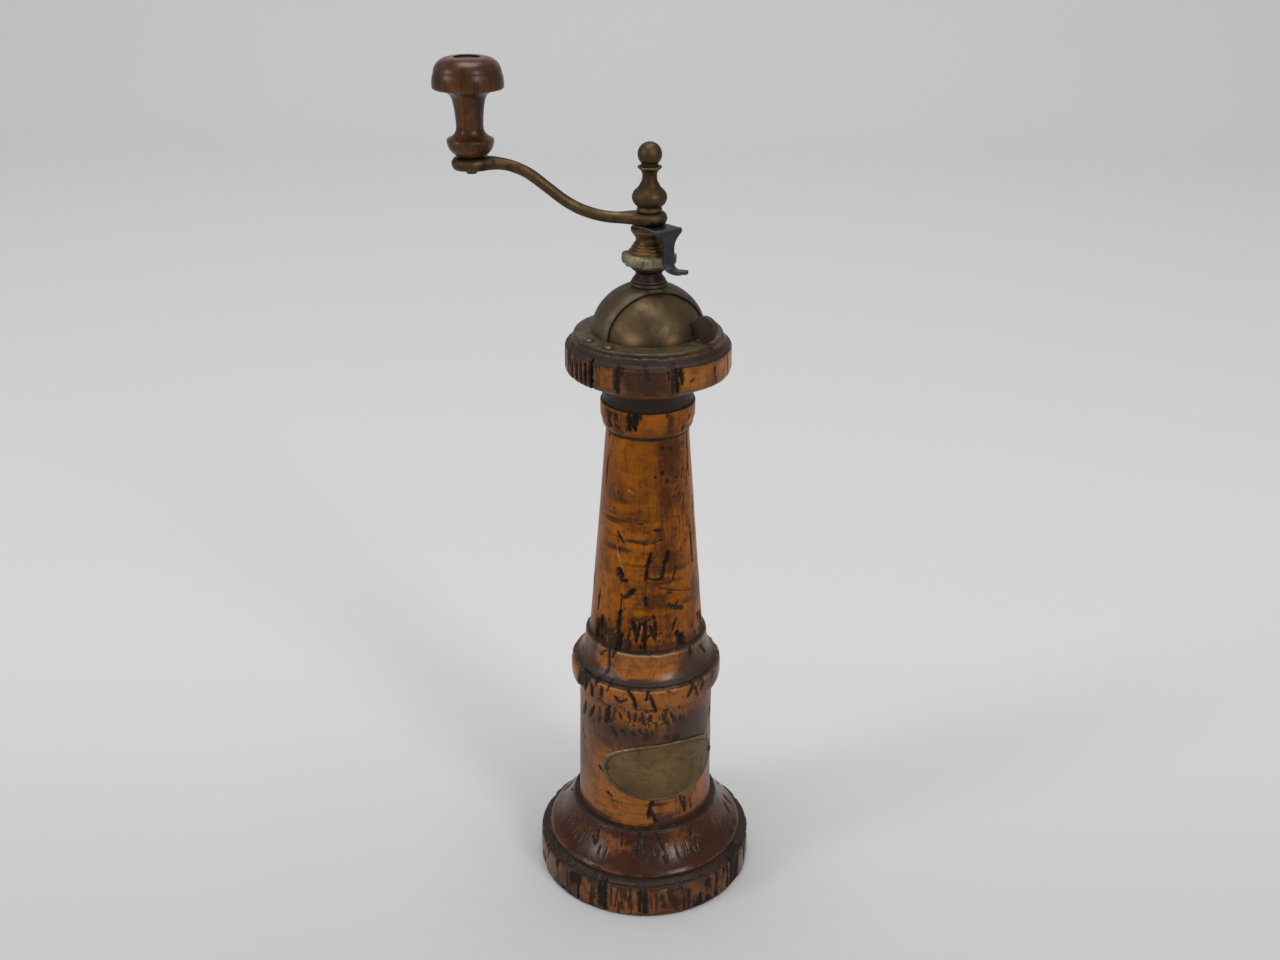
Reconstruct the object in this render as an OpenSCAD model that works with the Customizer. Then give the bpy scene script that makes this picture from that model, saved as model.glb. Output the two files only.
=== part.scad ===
// Tall crank spice mill: turned wooden body, brass dome with a sliding door, crank on a steel spindle.
// Origin at the centre of the foot, on the table. The name plate faces -Y and the crank points to -X.

/* [Foot] */
// Radius of the foot's rim
foot_r = 49.8; // [46:0.2:56]
// Height of the foot up to the barrel
foot_h = 35.6; // [34:0.2:42]
// Height of the rim's upright side
foot_rim_h = 14.4; // [12:0.2:16]
// Radius of the bead above the rim
foot_bead_r = 45.3; // [42:0.1:46]
// Radius of the foot's top edge round the barrel
foot_top_r = 33.6; // [33.2:0.1:36]
// Radius of the recess under the foot, where the ground spice falls out
outlet_r = 30; // [27:0.5:36]
// Depth of that recess
outlet_d = 9; // [8:0.5:9.5]

/* [Barrel] */
// Radius of the barrel at its lower end
barrel_low_r = 31; // [30.4:0.1:32]
// Radius of the barrel under the collar
barrel_top_r = 30.2; // [29:0.1:30.4]
// Height of the barrel with its collar
barrel_h = 89.6; // [84:0.2:100]
// Radius of the collar's band
collar_r = 34; // [33:0.1:37]
// Height of the collar from the band's lower edge to the barrel's top
collar_h = 25.4; // [24:0.1:28]
// Height of the collar's upright band
collar_band_h = 9.4; // [7:0.1:11]
// Radius of the small ring on top of the collar
collar_ring_r = 27.3; // [26.8:0.1:28]

/* [Column] */
// Height of the column with its upper ring
column_h = 110.4; // [90:0.2:140]
// Radius of the column at its lower end
column_low_r = 25.3; // [24:0.1:26]
// Radius of the column under the upper ring
column_top_r = 17.8; // [17.4:0.1:19]
// Radius of the upper ring
ring_r = 20.1; // [19.4:0.1:22]
// Height of the upper ring
ring_h = 12; // [10:0.2:14]
// Radius of the peppercorn bore through column and barrel
bore_r = 12.5; // [11:0.1:13]

/* [Top disc] */
// Radius of the top disc
disc_r = 34.7; // [34:0.1:38]
// Height of the top disc with its neck
disc_h = 27.8; // [26:0.2:32]
// Thickness of the disc's rim
disc_rim_h = 12; // [10:0.2:14]
// Radius of the disc's neck
disc_neck_r = 19.3; // [18.8:0.1:20]
// Radius of the funnel's mouth
funnel_r = 20.6; // [18:0.1:20.8]

/* [Dome] */
// Outer radius of the dome at its foot
dome_r = 23.6; // [23.2:0.1:25]
// Height of the dome, if it were round right to the top
dome_h = 21; // [19:0.1:24]
// Thickness of the dome's sheet
dome_t = 1; // [0.8:0.1:1.2]
// Radius of the dome's flange
flange_r = 30.8; // [30.4:0.1:31.4]
// Thickness of the flange
flange_t = 1.3; // [1:0.1:1.5]
// Distance from the spindle to the window's upright cut
window_d = 9; // [8.8:0.1:11]
// Direction that the window faces, seen from above
window_az = -69; // [-75:1:-60]
// Radius of the dome screws' heads
dome_screw_head_r = 1.9; // [1.6:0.1:2.1]

/* [Door] */
// Thickness of the door's sheet
door_t = 0.8; // [0.6:0.1:1]
// How far the door reaches under the dome past the window's edge
door_overlap = 1.5; // [1:0.1:1.8]
// Radius of the thumb tab
tab_r = 5.4; // [4.6:0.1:5.6]
// Thickness of the thumb tab
tab_t = 2.2; // [1.6:0.1:2.4]
// Distance from the spindle to the tab's centre
tab_reach = 27.8; // [27:0.1:28.2]
// Direction of the tab when the door is shut
tab_az = -35; // [-40:1:-28]

/* [Neck and nuts] */
// Height of the neck's turned spool above the dome
neck_h = 8.6; // [8:0.1:10]
// Largest radius of the neck's spool
neck_r = 7.8; // [7.6:0.1:8]
// Radius of the neck's threaded shank under the dome
shank_r = 4.6; // [4.4:0.1:4.8]
// Radius of the star nut over its lobes
star_r = 11.3; // [10.5:0.1:11.4]
// Thickness of the star nut
star_h = 4.5; // [4:0.1:5]
// Number of the star nut's lobes
star_lobes = 8; // [8:1:10]
// Height of the turned spool between the star nut and the latch
spool_h = 10.4; // [9.6:0.1:12]
// Largest radius of that spool
spool_r = 8; // [7.4:0.1:8.2]

/* [Spindle and burrs] */
// Radius of the spindle
spindle_r = 3; // [2.8:0.1:3.2]
// Width of the spindle's square ends, which drive the cone burr and the crank
square_w = 4; // [3.8:0.1:4.2]
// Radius of the spindle's threaded ends
thread_r = 1.8; // [1.6:0.1:1.8]
// Outer radius of the ring burr
ring_burr_r = 17.4; // [17:0.1:17.8]
// Height of the ring burr
ring_burr_h = 21; // [20:0.2:21.4]
// Radius of the ring burr's flange
burr_flange_r = 24; // [23.4:0.1:25]
// Thickness of the ring burr's flange
burr_flange_t = 2.5; // [2.2:0.1:3]
// Height of the cone burr
cone_burr_h = 15.5; // [14:0.1:16]
// Number of teeth on the cone burr
cone_teeth = 10; // [8:1:12]
// Number of teeth in the ring burr
ring_teeth = 18; // [14:1:20]
// Number of the spring's curls
spring_curls = 7; // [5:1:8]
// Thickness of the spring's wire
spring_wire = 1.2; // [1:0.1:1.3]

/* [Crank] */
// Distance from the spindle to the knob's pin
crank_reach = 69.8; // [60:0.2:80]
// Height that the arm rises to the knob
crank_rise = 21.3; // [18:0.1:24]
// Thickness of the arm's round rod
arm_d = 4.7; // [4.2:0.1:4.8]
// Thickness of the arm's flat eyes
eye_t = 5; // [4.9:0.1:5.4]
// Slope of the arm's straight middle stretch
arm_slope = 38; // [34:1:42]
// Radius of the arm's lower bend
arm_low_bend = 39; // [34:1:40]
// Radius of the arm's upper bend
arm_top_bend = 28; // [24:1:32]
// Radius of the arm's eye on the spindle
eye_r = 7.2; // [6.6:0.1:8]
// Radius of the arm's eye under the knob
knob_eye_r = 7.8; // [7:0.1:8.4]
// Height of the finial
finial_h = 27.6; // [26:0.1:30]
// Largest radius of the finial's bulb
finial_r = 6.9; // [6.6:0.1:7.4]
// Radius of the finial's ball
ball_r = 4.9; // [4.6:0.1:5.2]

/* [Knob] */
// Height of the knob
knob_h = 38.2; // [36:0.2:42]
// Radius of the knob's cap
cap_r = 14; // [13:0.1:16]
// Radius of the knob's waist
waist_r = 5.3; // [5:0.1:6]
// Radius of the knob's lower bead
knob_bead_r = 9.3; // [8.8:0.1:10]
// Radius of the knob's pin
pin_r = 2.1; // [1.9:0.1:2.3]
// Radius of the recess round the pin's head
pin_recess_r = 5; // [4.6:0.1:5.4]

/* [Latch] */
// Thickness of the latch strip
latch_t = 1.1; // [0.9:0.1:1.2]
// Width of the strip at its fold
latch_w = 12.6; // [11:0.1:13]
// Width of the leaf where it narrows
leaf_w = 5; // [4.4:0.1:5.6]
// Direction of the latch, seen from above
latch_az = -51; // [-58:1:-44]
// Length of the leaf's finger tip
finger_l = 11.5; // [9:0.1:12]

/* [Name plate] */
// Half the width of the plate, measured round the barrel
plate_half_w = 31.4; // [24:0.1:32]
// Height of the plate
plate_h = 30.4; // [26:0.1:34]
// Thickness of the plate
plate_t = 0.7; // [0.5:0.1:1]
// Height of the plate's centre above the table
plate_z = 65.6; // [62:0.1:72]
// Direction that the plate faces, seen from above
plate_az = -72; // [-90:1:-60]

/* [Clearances] */
// Radial clearance of the spindle in its bearings
run_gap = 0.05; // [0.02:0.01:0.1]
// Radial clearance of pieces that are glued, pressed or screwed together
seat_gap = 0.05; // [0.02:0.01:0.1]
// Clearance between the dome and the door that slides under it
slide_gap = 0.3; // [0.25:0.01:0.4]
// Clearance of faces that turn against each other
face_gap = 0.1; // [0.05:0.01:0.2]

/* [Hidden] */

wood = "#8a4b1c";
dark_wood = "#5b2f1a";
brass = "#8d7a45";
old_brass = "#6f6238";
bronze = "#57423a";
steel = "#77787a";
blued = "#2c2f38";
pale_metal = "#a9a48c";

turned = 96;
small = 48;
over = 1;

// Heights of the seats, from the table up
barrel_z = foot_h;
collar_z = foot_h + barrel_h - collar_h;
column_z = foot_h + barrel_h;
disc_z = column_z + column_h;
flange_z = disc_z + disc_h;
dome_z = flange_z + flange_t - 0.4;

// Joints between the wooden pieces
foot_tenon_r = 23;
foot_tenon_h = 5;
column_tenon_r = 17;
column_tenon_h = 8;
disc_tenon_r = 15.4;
disc_tenon_h = 6;
guide_r = 14;
guide_z = barrel_z + 12.4;
guide_t = 2;

// A shallow curve from p to q, bowed sideways by sag, with n steps, without its end point
function bow(p, q, sag, n) =
    let (d = q - p, side = [d[1], -d[0]] / norm(d))
    [for (i = [0 : n - 1]) let (t = i / n) p + d * t + side * (4 * sag * t * (1 - t))];

// A quarter of an ellipse round centre c from angle a to b, with n steps
function bend(c, rx, ry, a, b, n) =
    [for (i = [0 : n]) let (t = a + (b - a) * i / n) c + [rx * cos(t), ry * sin(t)]];

// Radius of the barrel's plain side at a height above the table
function barrel_side(z) =
    barrel_low_r + (barrel_top_r - barrel_low_r) * (z - barrel_z) / (collar_z - barrel_z);

module turned_solid(points) {
    rotate_extrude($fn = turned)
        polygon(points);
}

// Wooden body

foot_cove_low = [foot_bead_r - 0.8, foot_rim_h + 6];
foot_cove_top = [foot_top_r + 0.5, foot_h - 0.9];

foot_outline = concat(
    [[0, 0], [foot_r - 0.8, 0]],
    bend([foot_r - 0.8, 0.8], 0.8, 0.8, -90, 0, 3),
    bend([foot_r - 1.6, foot_rim_h - 0.4], 1.6, 1.6, 0, 70, 4),
    bow([foot_r - 1.6, foot_rim_h + 1.2], [foot_bead_r - 0.4, foot_rim_h + 3], -0.7, 4),
    bend([foot_bead_r - 0.9, foot_rim_h + 4.5], 0.9, 1.1, -60, 80, 5),
    bow(foot_cove_low, foot_cove_top, -0.6, 12),
    [foot_cove_top, [foot_top_r, foot_h - 0.3], [foot_top_r - 0.4, foot_h], [0, foot_h]]);

flange_seat_z = outlet_d + burr_flange_t;
burr_seat_r = ring_burr_r + seat_gap;

module foot() {
    color(wood)
        difference() {
            turned_solid(foot_outline);
            translate([0, 0, -over])
                cylinder(r = outlet_r, h = outlet_d + over, $fn = turned);
            cylinder(r = burr_flange_r + seat_gap, h = flange_seat_z, $fn = turned);
            cylinder(r = burr_seat_r, h = foot_h, $fn = turned);
            translate([0, 0, foot_h - foot_tenon_h])
                cylinder(r = foot_tenon_r + seat_gap, h = foot_tenon_h + over, $fn = turned);
            burr_screw_places()
                cylinder(r = burr_screw_r, h = burr_screw_l, $fn = 24);
        }
}

band_top_z = collar_z + collar_band_h;
collar_cove_low = [collar_r - 2.1, band_top_z + 2.5];
collar_cove_top = [collar_ring_r + 0.1, column_z - 3];

barrel_outline = concat(
    [[0, barrel_z - foot_tenon_h], [foot_tenon_r, barrel_z - foot_tenon_h], [foot_tenon_r, barrel_z]],
    [[barrel_low_r, barrel_z], [barrel_top_r, collar_z - 0.6]],
    bow([barrel_top_r + 0.6, collar_z], [collar_r - 0.2, collar_z + 3], 0.8, 5),
    [[collar_r, collar_z + 4]],
    bend([collar_r - 1.2, band_top_z], 1.2, 1.5, 0, 75, 4),
    [[collar_r - 2.4, band_top_z + 1.4], [collar_r - 2.6, band_top_z + 2.1]],
    bow(collar_cove_low, collar_cove_top, -0.8, 10),
    [[collar_ring_r, column_z - 2.8], [collar_ring_r, column_z - 1.2]],
    bend([collar_ring_r - 1, column_z - 1], 1, 1, 0, 90, 3),
    [[0, column_z]]);

module barrel() {
    color(wood)
        difference() {
            turned_solid(barrel_outline);
            cylinder(r = bore_r, h = disc_z, $fn = turned);
            cylinder(r = guide_r, h = guide_z + guide_t, $fn = turned);
            translate([0, 0, column_z - column_tenon_h])
                cylinder(r = column_tenon_r + seat_gap, h = column_tenon_h + over, $fn = turned);
            pin_places()
                cylinder(r = pin_shank_r, h = pin_shank_l, $fn = 24);
        }
}

ring_z = disc_z - ring_h;

column_outline = concat(
    [[0, column_z - column_tenon_h], [column_tenon_r, column_z - column_tenon_h], [column_tenon_r, column_z]],
    bow([column_low_r + 0.9, column_z], [column_low_r - 0.1, column_z + 3], -0.2, 4),
    [[column_low_r - 0.1, column_z + 3], [column_top_r, ring_z - 2.6]],
    bow([column_top_r, ring_z - 0.6], [ring_r - 0.6, ring_z + 3.2], 0.5, 5),
    bend([ring_r - 1.6, ring_z + 5.4], 1.6, 1.8, -50, 0, 3),
    bend([ring_r - 0.9, disc_z - 0.9], 0.9, 0.9, 0, 80, 4),
    [[ring_r - 1.2, disc_z], [disc_tenon_r, disc_z], [disc_tenon_r, disc_z + disc_tenon_h]],
    [[0, disc_z + disc_tenon_h]]);

module column() {
    color(wood)
        difference() {
            turned_solid(column_outline);
            translate([0, 0, column_z - column_tenon_h - over])
                cylinder(r = bore_r, h = column_h + column_tenon_h + disc_tenon_h + 2 * over, $fn = turned);
        }
}

rim_top_z = flange_z - 3;
rim_low_z = rim_top_z - disc_rim_h;
funnel_z = disc_z + disc_tenon_h + 3;

disc_outline = concat(
    [[0, disc_z], [disc_neck_r, disc_z]],
    bow([disc_neck_r, disc_z + 2.6], [disc_r - 4.4, rim_low_z - 1.2], -3.4, 8),
    [[disc_r - 4.4, rim_low_z - 1.2]],
    bend([disc_r - 3, rim_low_z + 2], 3, 3, -75, 0, 6),
    bend([disc_r - 1.9, rim_top_z - 1.9], 1.9, 1.9, 0, 75, 5),
    [[disc_r - 2, rim_top_z + 0.1], [disc_r - 2.2, rim_top_z + 0.9]],
    bend([flange_r - 0.6, rim_top_z + 1], 1.9, 2, 10, 90, 5),
    [[0, flange_z]]);

module top_disc() {
    color(wood)
        difference() {
            turned_solid(disc_outline);
            translate([0, 0, disc_z - over])
                cylinder(r = disc_tenon_r + seat_gap, h = disc_tenon_h + over, $fn = turned);
            cylinder(r = bore_r, h = flange_z + over, $fn = turned);
            translate([0, 0, funnel_z])
                cylinder(r1 = bore_r, r2 = funnel_r, h = flange_z - funnel_z, $fn = turned);
            translate([0, 0, flange_z])
                cylinder(r = funnel_r, h = over, $fn = turned);
            dome_screw_places()
                translate([0, 0, -dome_screw_l])
                    cylinder(r = dome_screw_r, h = dome_screw_l + over, $fn = 24);
        }
}

// Name plate on the barrel, with its two pins

pin_shank_r = 0.7;
pin_shank_l = 6;
pin_head_r = 1.4;
pin_head_t = 0.6;
plate_pin_side = 52;

// The oval plate's outline as it looks from its front, with its width wrapped round the barrel
function plate_outline(n) =
    [for (i = [0 : n - 1])
        let (t = 360 * i / n, side = plate_half_w * cos(t) / barrel_low_r * 180 / PI)
        [barrel_low_r * sin(side), plate_h / 2 * sin(t)]];

module plate_skin(thick) {
    low = plate_z - plate_h / 2 - over;
    top = plate_z + plate_h / 2 + over;
    difference() {
        translate([0, 0, low])
            cylinder(r1 = barrel_side(low) + thick, r2 = barrel_side(top) + thick,
                     h = top - low, $fn = turned);
        translate([0, 0, barrel_z])
            cylinder(r1 = barrel_low_r + seat_gap, r2 = barrel_top_r + seat_gap,
                     h = collar_z - barrel_z, $fn = turned);
    }
}

module name_plate() {
    color(brass)
        difference() {
            intersection() {
                plate_skin(plate_t);
                rotate([0, 0, plate_az])
                    translate([0, 0, plate_z])
                        rotate([90, 0, 90])
                            linear_extrude(height = 2 * barrel_low_r)
                                polygon(plate_outline(64));
            }
            pin_places()
                cylinder(r = pin_shank_r, h = pin_shank_l + 2, $fn = 24);
        }
}

// Places of the plate's pins: inward from a little outside the plate
module pin_places() {
    for (side = [-1, 1])
        rotate([0, 0, plate_az + side * plate_pin_side])
            translate([barrel_side(plate_z) + plate_t, 0, plate_z])
                rotate([0, -90, 0])
                    children();
}

module plate_pins() {
    color(old_brass)
        pin_places()
            union() {
                cylinder(r = pin_shank_r, h = pin_shank_l, $fn = 24);
                translate([0, 0, -pin_head_t])
                    cylinder(r1 = pin_head_r * 0.7, r2 = pin_head_r, h = pin_head_t, $fn = 24);
            }
}

// Dome with its flange and window

crown_r = 7.8;
hole_r = shank_r + seat_gap;
seat_z = dome_z + dome_h * sqrt(1 - pow(crown_r / dome_r, 2));

// Half outline of a flattened dome with a level crown, from its foot to the spindle's line
function dome_half(r, h, n) =
    let (a = acos(crown_r / r))
    concat([for (i = [0 : n]) let (t = a * i / n) [r * cos(t), dome_z + h * sin(t)]],
           [[0, dome_z + h * sin(a)]]);

module dome_solid(shrink, low) {
    turned_solid(concat([[0, low], [dome_r - shrink, low]], dome_half(dome_r - shrink, dome_h - shrink, 20)));
}

// Everything in front of an upright plane at distance d from the spindle, towards the window
module before_plane(d) {
    rotate([0, 0, window_az])
        translate([d, -2 * dome_r, flange_z - over])
            cube([2 * dome_r, 4 * dome_r, 2 * dome_h + over]);
}

dome_screw_r = 1;
dome_screw_l = 9;
dome_screw_az = [-149.5, -125, 95, 30];
dome_screw_at = flange_r - 2.9;

module dome_screw_places() {
    for (az = dome_screw_az)
        rotate([0, 0, az])
            translate([dome_screw_at, 0, flange_z + flange_t])
                children();
}

module dome() {
    color(old_brass)
        difference() {
            union() {
                translate([0, 0, flange_z])
                    rotate_extrude($fn = turned)
                        polygon([[0, 0], [flange_r, 0], [flange_r, flange_t - 0.4],
                                 [flange_r - 0.4, flange_t], [0, flange_t]]);
                difference() {
                    dome_solid(0, flange_z + flange_t / 2);
                    translate([0, 0, flange_t + over])
                        before_plane(window_d);
                }
            }
            dome_solid(dome_t, flange_z - over);
            cylinder(r = hole_r, h = 2 * seat_z, $fn = small);
            dome_screw_places()
                translate([0, 0, -dome_screw_l])
                    cylinder(r = dome_screw_r + seat_gap, h = dome_screw_l + over, $fn = 24);
        }
}

module dome_screws() {
    color(brass)
        dome_screw_places()
            difference() {
                union() {
                    translate([0, 0, -dome_screw_l])
                        cylinder(r = dome_screw_r, h = dome_screw_l, $fn = 24);
                    rotate_extrude($fn = 32)
                        polygon([[0, 0], [dome_screw_head_r, 0], [dome_screw_head_r, 0.3],
                                 [0.7 * dome_screw_head_r, 0.75], [0.35 * dome_screw_head_r, 0.9],
                                 [0, 0.95]]);
                }
                for (turn = [20, 110])
                    rotate([0, 0, turn])
                        translate([-1.2, -0.2, 0.45])
                            cube([2.4, 0.4, 1]);
            }
}

// Neck on the dome and the nut that holds it from inside

neck_z = seat_z;
star_z = neck_z + neck_h + face_gap;
door_inset = dome_t + slide_gap + door_t;
door_under_z = dome_z + (dome_h - door_inset) * sin(acos(crown_r / (dome_r - door_inset)));
neck_nut_h = 3;
neck_nut_r = 7.2;
neck_nut_z = door_under_z - face_gap - neck_nut_h;

neck_outline = concat(
    [[0, neck_nut_z - 0.6], [shank_r, neck_nut_z - 0.6], [shank_r, neck_z], [neck_r - 0.3, neck_z]],
    [[neck_r - 0.1, neck_z + 0.5], [neck_r - 0.3, neck_z + 1.2]],
    [[neck_r - 0.9, neck_z + 1.5], [neck_r - 0.8, neck_z + 2]],
    [[neck_r - 1.1, neck_z + 2.6], [neck_r - 1.6, neck_z + 2.8]],
    bow([neck_r - 1.6, neck_z + 3.2], [neck_r - 1.3, neck_z + neck_h - 2.2], -0.9, 6),
    [[neck_r - 0.8, neck_z + neck_h - 2], [neck_r, neck_z + neck_h - 0.9]],
    [[neck_r, neck_z + neck_h], [0, neck_z + neck_h]]);

module dome_neck() {
    color(bronze)
        difference() {
            turned_solid(neck_outline);
            cylinder(r = spindle_r + run_gap, h = 2 * neck_z, $fn = small);
        }
}

module neck_nut() {
    color(old_brass)
        translate([0, 0, neck_nut_z])
            difference() {
                cylinder(r = neck_nut_r, h = neck_nut_h, $fn = 6);
                translate([0, 0, -over])
                    cylinder(r = shank_r + seat_gap, h = neck_nut_h + 2 * over, $fn = small);
            }
}

// Sliding door under the dome, and the tab that moves it

door_foot_gap = 0.15;
door_eye_r = 8.6;

module door() {
    color(brass)
        difference() {
            dome_solid(dome_t + slide_gap, flange_z + door_foot_gap);
            dome_solid(door_inset, flange_z - over);
            cylinder(r = shank_r + slide_gap, h = 2 * seat_z, $fn = small);
            difference() {
                translate([0, 0, flange_z - over])
                    cylinder(r = 2 * dome_r, h = 2 * dome_h, $fn = 32);
                before_plane(window_d - door_overlap);
                cylinder(r = door_eye_r, h = 2 * seat_z, $fn = small);
            }
        }
}

tab_z = flange_z + flange_t + slide_gap + tab_r;
tab_stem_h = 5;
tab_stem_t = tab_t - 0.6;

module thumb_tab() {
    color(dark_wood)
        difference() {
            rotate([0, 0, tab_az])
                translate([0, 0, tab_z])
                    union() {
                        translate([tab_reach, tab_t / 2, 0])
                            rotate([90, 0, 0])
                                rotate_extrude($fn = small)
                                    polygon([[0, 0], [tab_r - 0.4, 0], [tab_r, 0.4], [tab_r, tab_t - 0.4],
                                             [tab_r - 0.4, tab_t], [0, tab_t]]);
                        translate([dome_r / 2, -tab_stem_t / 2, -tab_stem_h / 2])
                            cube([tab_reach - dome_r / 2, tab_stem_t, tab_stem_h]);
                    }
            dome_solid(dome_t + slide_gap, flange_z - over);
        }
}

// Burrs under the barrel

burr_screw_r = 1.4;
burr_screw_l = 22;
burr_screw_head_r = 2.6;
burr_screw_at = (burr_flange_r + ring_burr_r) / 2;

module burr_screw_places() {
    for (az = [90, 210, 330])
        rotate([0, 0, az])
            translate([burr_screw_at, 0, 0])
                children();
}

ring_burr_z = outlet_d;
ring_mouth_r = 13.9;
ring_throat_r = 12.2;
tooth_d = 1;
cone_low_r = 13;
cone_top_r = 7.6;
cone_burr_z = outlet_d + 4.7;

// Outline of a burr: n slanting teeth of depth d round radius r
function burr_star(n, r, d) =
    [for (i = [0 : n - 1]) for (k = [0 : 2])
        let (a = 360 * (i + [0, 0.18, 0.92][k]) / n, reach = r + [0, d, 0.15 * d][k])
        [reach * cos(a), reach * sin(a)]];

module ring_burr() {
    color(steel)
        difference() {
            translate([0, 0, ring_burr_z])
                rotate_extrude($fn = turned)
                    polygon([[0, 0], [burr_flange_r, 0], [burr_flange_r, burr_flange_t],
                             [ring_burr_r, burr_flange_t], [ring_burr_r, ring_burr_h - 0.6],
                             [ring_burr_r - 0.6, ring_burr_h], [0, ring_burr_h]]);
            translate([0, 0, ring_burr_z - 0.01])
                linear_extrude(height = ring_burr_h + 0.02, twist = -24, slices = 8,
                               scale = ring_throat_r / ring_mouth_r)
                    polygon(burr_star(ring_teeth, ring_mouth_r, tooth_d));
            burr_screw_places() {
                cylinder(r = burr_screw_r + seat_gap, h = burr_screw_l, $fn = 24);
                translate([0, 0, outlet_d - 0.01])
                    cylinder(r1 = burr_screw_head_r + seat_gap, r2 = burr_screw_r + seat_gap,
                             h = burr_screw_head_r - burr_screw_r, $fn = 24);
            }
        }
}

module burr_screws() {
    color(steel)
        burr_screw_places()
            difference() {
                union() {
                    translate([0, 0, outlet_d])
                        cylinder(r = burr_screw_r, h = burr_screw_l - outlet_d, $fn = 24);
                    translate([0, 0, outlet_d])
                        cylinder(r1 = burr_screw_head_r, r2 = burr_screw_r,
                                 h = burr_screw_head_r - burr_screw_r, $fn = 24);
                }
                translate([-burr_screw_head_r, -0.3, outlet_d - over])
                    cube([2 * burr_screw_head_r, 0.6, over + 0.6]);
            }
}

module cone_burr() {
    color(steel)
        difference() {
            translate([0, 0, cone_burr_z])
                linear_extrude(height = cone_burr_h, twist = 50, slices = 10, scale = cone_top_r / cone_low_r)
                    polygon(burr_star(cone_teeth, cone_low_r - tooth_d, tooth_d));
            translate([-square_w / 2 - seat_gap, -square_w / 2 - seat_gap, 0])
                cube([square_w + 2 * seat_gap, square_w + 2 * seat_gap, 2 * cone_burr_z + cone_burr_h]);
        }
}

shoulder_z = cone_burr_z + cone_burr_h;
burr_nut_r = 4;
burr_nut_h = 3.4;

module burr_nut() {
    color(steel)
        translate([0, 0, cone_burr_z - burr_nut_h])
            difference() {
                cylinder(r = burr_nut_r, h = burr_nut_h, $fn = 6);
                translate([0, 0, -over])
                    cylinder(r = thread_r + seat_gap, h = burr_nut_h + 2 * over, $fn = small);
            }
}

// Guide, spring and washer inside the barrel

hub_r = 5.6;
hub_h = 5;
guide_arm_w = 3;

module shaft_guide() {
    color(steel)
        difference() {
            union() {
                difference() {
                    translate([0, 0, guide_z])
                        cylinder(r = guide_r - seat_gap, h = guide_t, $fn = turned);
                    translate([0, 0, guide_z - over])
                        cylinder(r = bore_r - 0.5, h = guide_t + 2 * over, $fn = turned);
                }
                for (az = [30, 150, 270])
                    rotate([0, 0, az])
                        translate([0, -guide_arm_w / 2, guide_z])
                            cube([bore_r, guide_arm_w, guide_t]);
                translate([0, 0, guide_z])
                    cylinder(r = hub_r, h = hub_h, $fn = small);
            }
            translate([0, 0, guide_z - over])
                cylinder(r = spindle_r + run_gap, h = hub_h + 2 * over, $fn = small);
        }
}

washer_r = 6.4;
washer_t = 1;
spring_low = shoulder_z + washer_t + 0.15;
spring_r = spindle_r + 0.4 + spring_wire / 2;
spring_rise = guide_z - spring_low - spring_wire - 0.15;
spring_rings = 8;
spring_sides = 6;

// Centre of the wire after t curls
function coil(t) =
    let (z = spring_low + spring_wire / 2 + spring_rise * t / spring_curls)
    [spring_r * cos(360 * t), spring_r * sin(360 * t), z];

function coil_ring(t) =
    [for (j = [0 : spring_sides - 1])
        let (a = 360 * j / spring_sides, out = spring_wire / 2 * cos(a))
        coil(t) + [out * cos(360 * t), out * sin(360 * t), spring_wire / 2 * sin(a)]];

spring_steps = spring_curls * spring_rings;
spring_points = [for (i = [0 : spring_steps]) each coil_ring(i / spring_rings)];
spring_sides_faces =
    [for (i = [0 : spring_steps - 1]) for (j = [0 : spring_sides - 1])
        let (a = i * spring_sides + j, b = i * spring_sides + (j + 1) % spring_sides)
        each [[a, a + spring_sides, b + spring_sides], [a, b + spring_sides, b]]];
spring_ends =
    [[for (j = [0 : spring_sides - 1]) j],
     [for (j = [spring_sides - 1 : -1 : 0]) spring_steps * spring_sides + j]];

// Least gap of the wire to itself, from points a curl apart
spring_self_gap = min([for (i = [0 : spring_steps - spring_rings]) for (k = [-2 : 2])
    norm(coil(i / spring_rings) - coil((i + spring_rings + k / 4) / spring_rings))]) - spring_wire;
echo(spring_self_gap = spring_self_gap);

module burr_spring() {
    color(steel)
        polyhedron(points = spring_points, faces = concat(spring_sides_faces, spring_ends));
}

module thrust_washer() {
    color(old_brass)
        translate([0, 0, shoulder_z])
            difference() {
                cylinder(r = washer_r, h = washer_t, $fn = small);
                translate([0, 0, -over])
                    cylinder(r = spindle_r + seat_gap, h = washer_t + 2 * over, $fn = small);
            }
}

// Spindle from the burrs to the finial

spool_z = star_z + star_h + face_gap;
latch_z = spool_z + spool_h;
arm_low_z = latch_z + latch_t;
arm_z = arm_low_z + eye_t / 2;
finial_z = arm_low_z + eye_t;
thread_top_z = finial_z + 13;

module spindle() {
    color(steel)
        union() {
            translate([0, 0, cone_burr_z - burr_nut_h - 0.6])
                cylinder(r = thread_r, h = burr_nut_h + 1, $fn = small);
            translate([-square_w / 2, -square_w / 2, cone_burr_z])
                cube([square_w, square_w, cone_burr_h]);
            translate([0, 0, shoulder_z])
                cylinder(r = spindle_r, h = latch_z - shoulder_z, $fn = small);
            translate([-square_w / 2, -square_w / 2, latch_z])
                cube([square_w, square_w, finial_z - latch_z]);
            translate([0, 0, finial_z - 0.4])
                cylinder(r = thread_r, h = thread_top_z - finial_z, $fn = small);
        }
}

// Star nut and the spool above it

star_core_r = star_r - 1.5;

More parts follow.
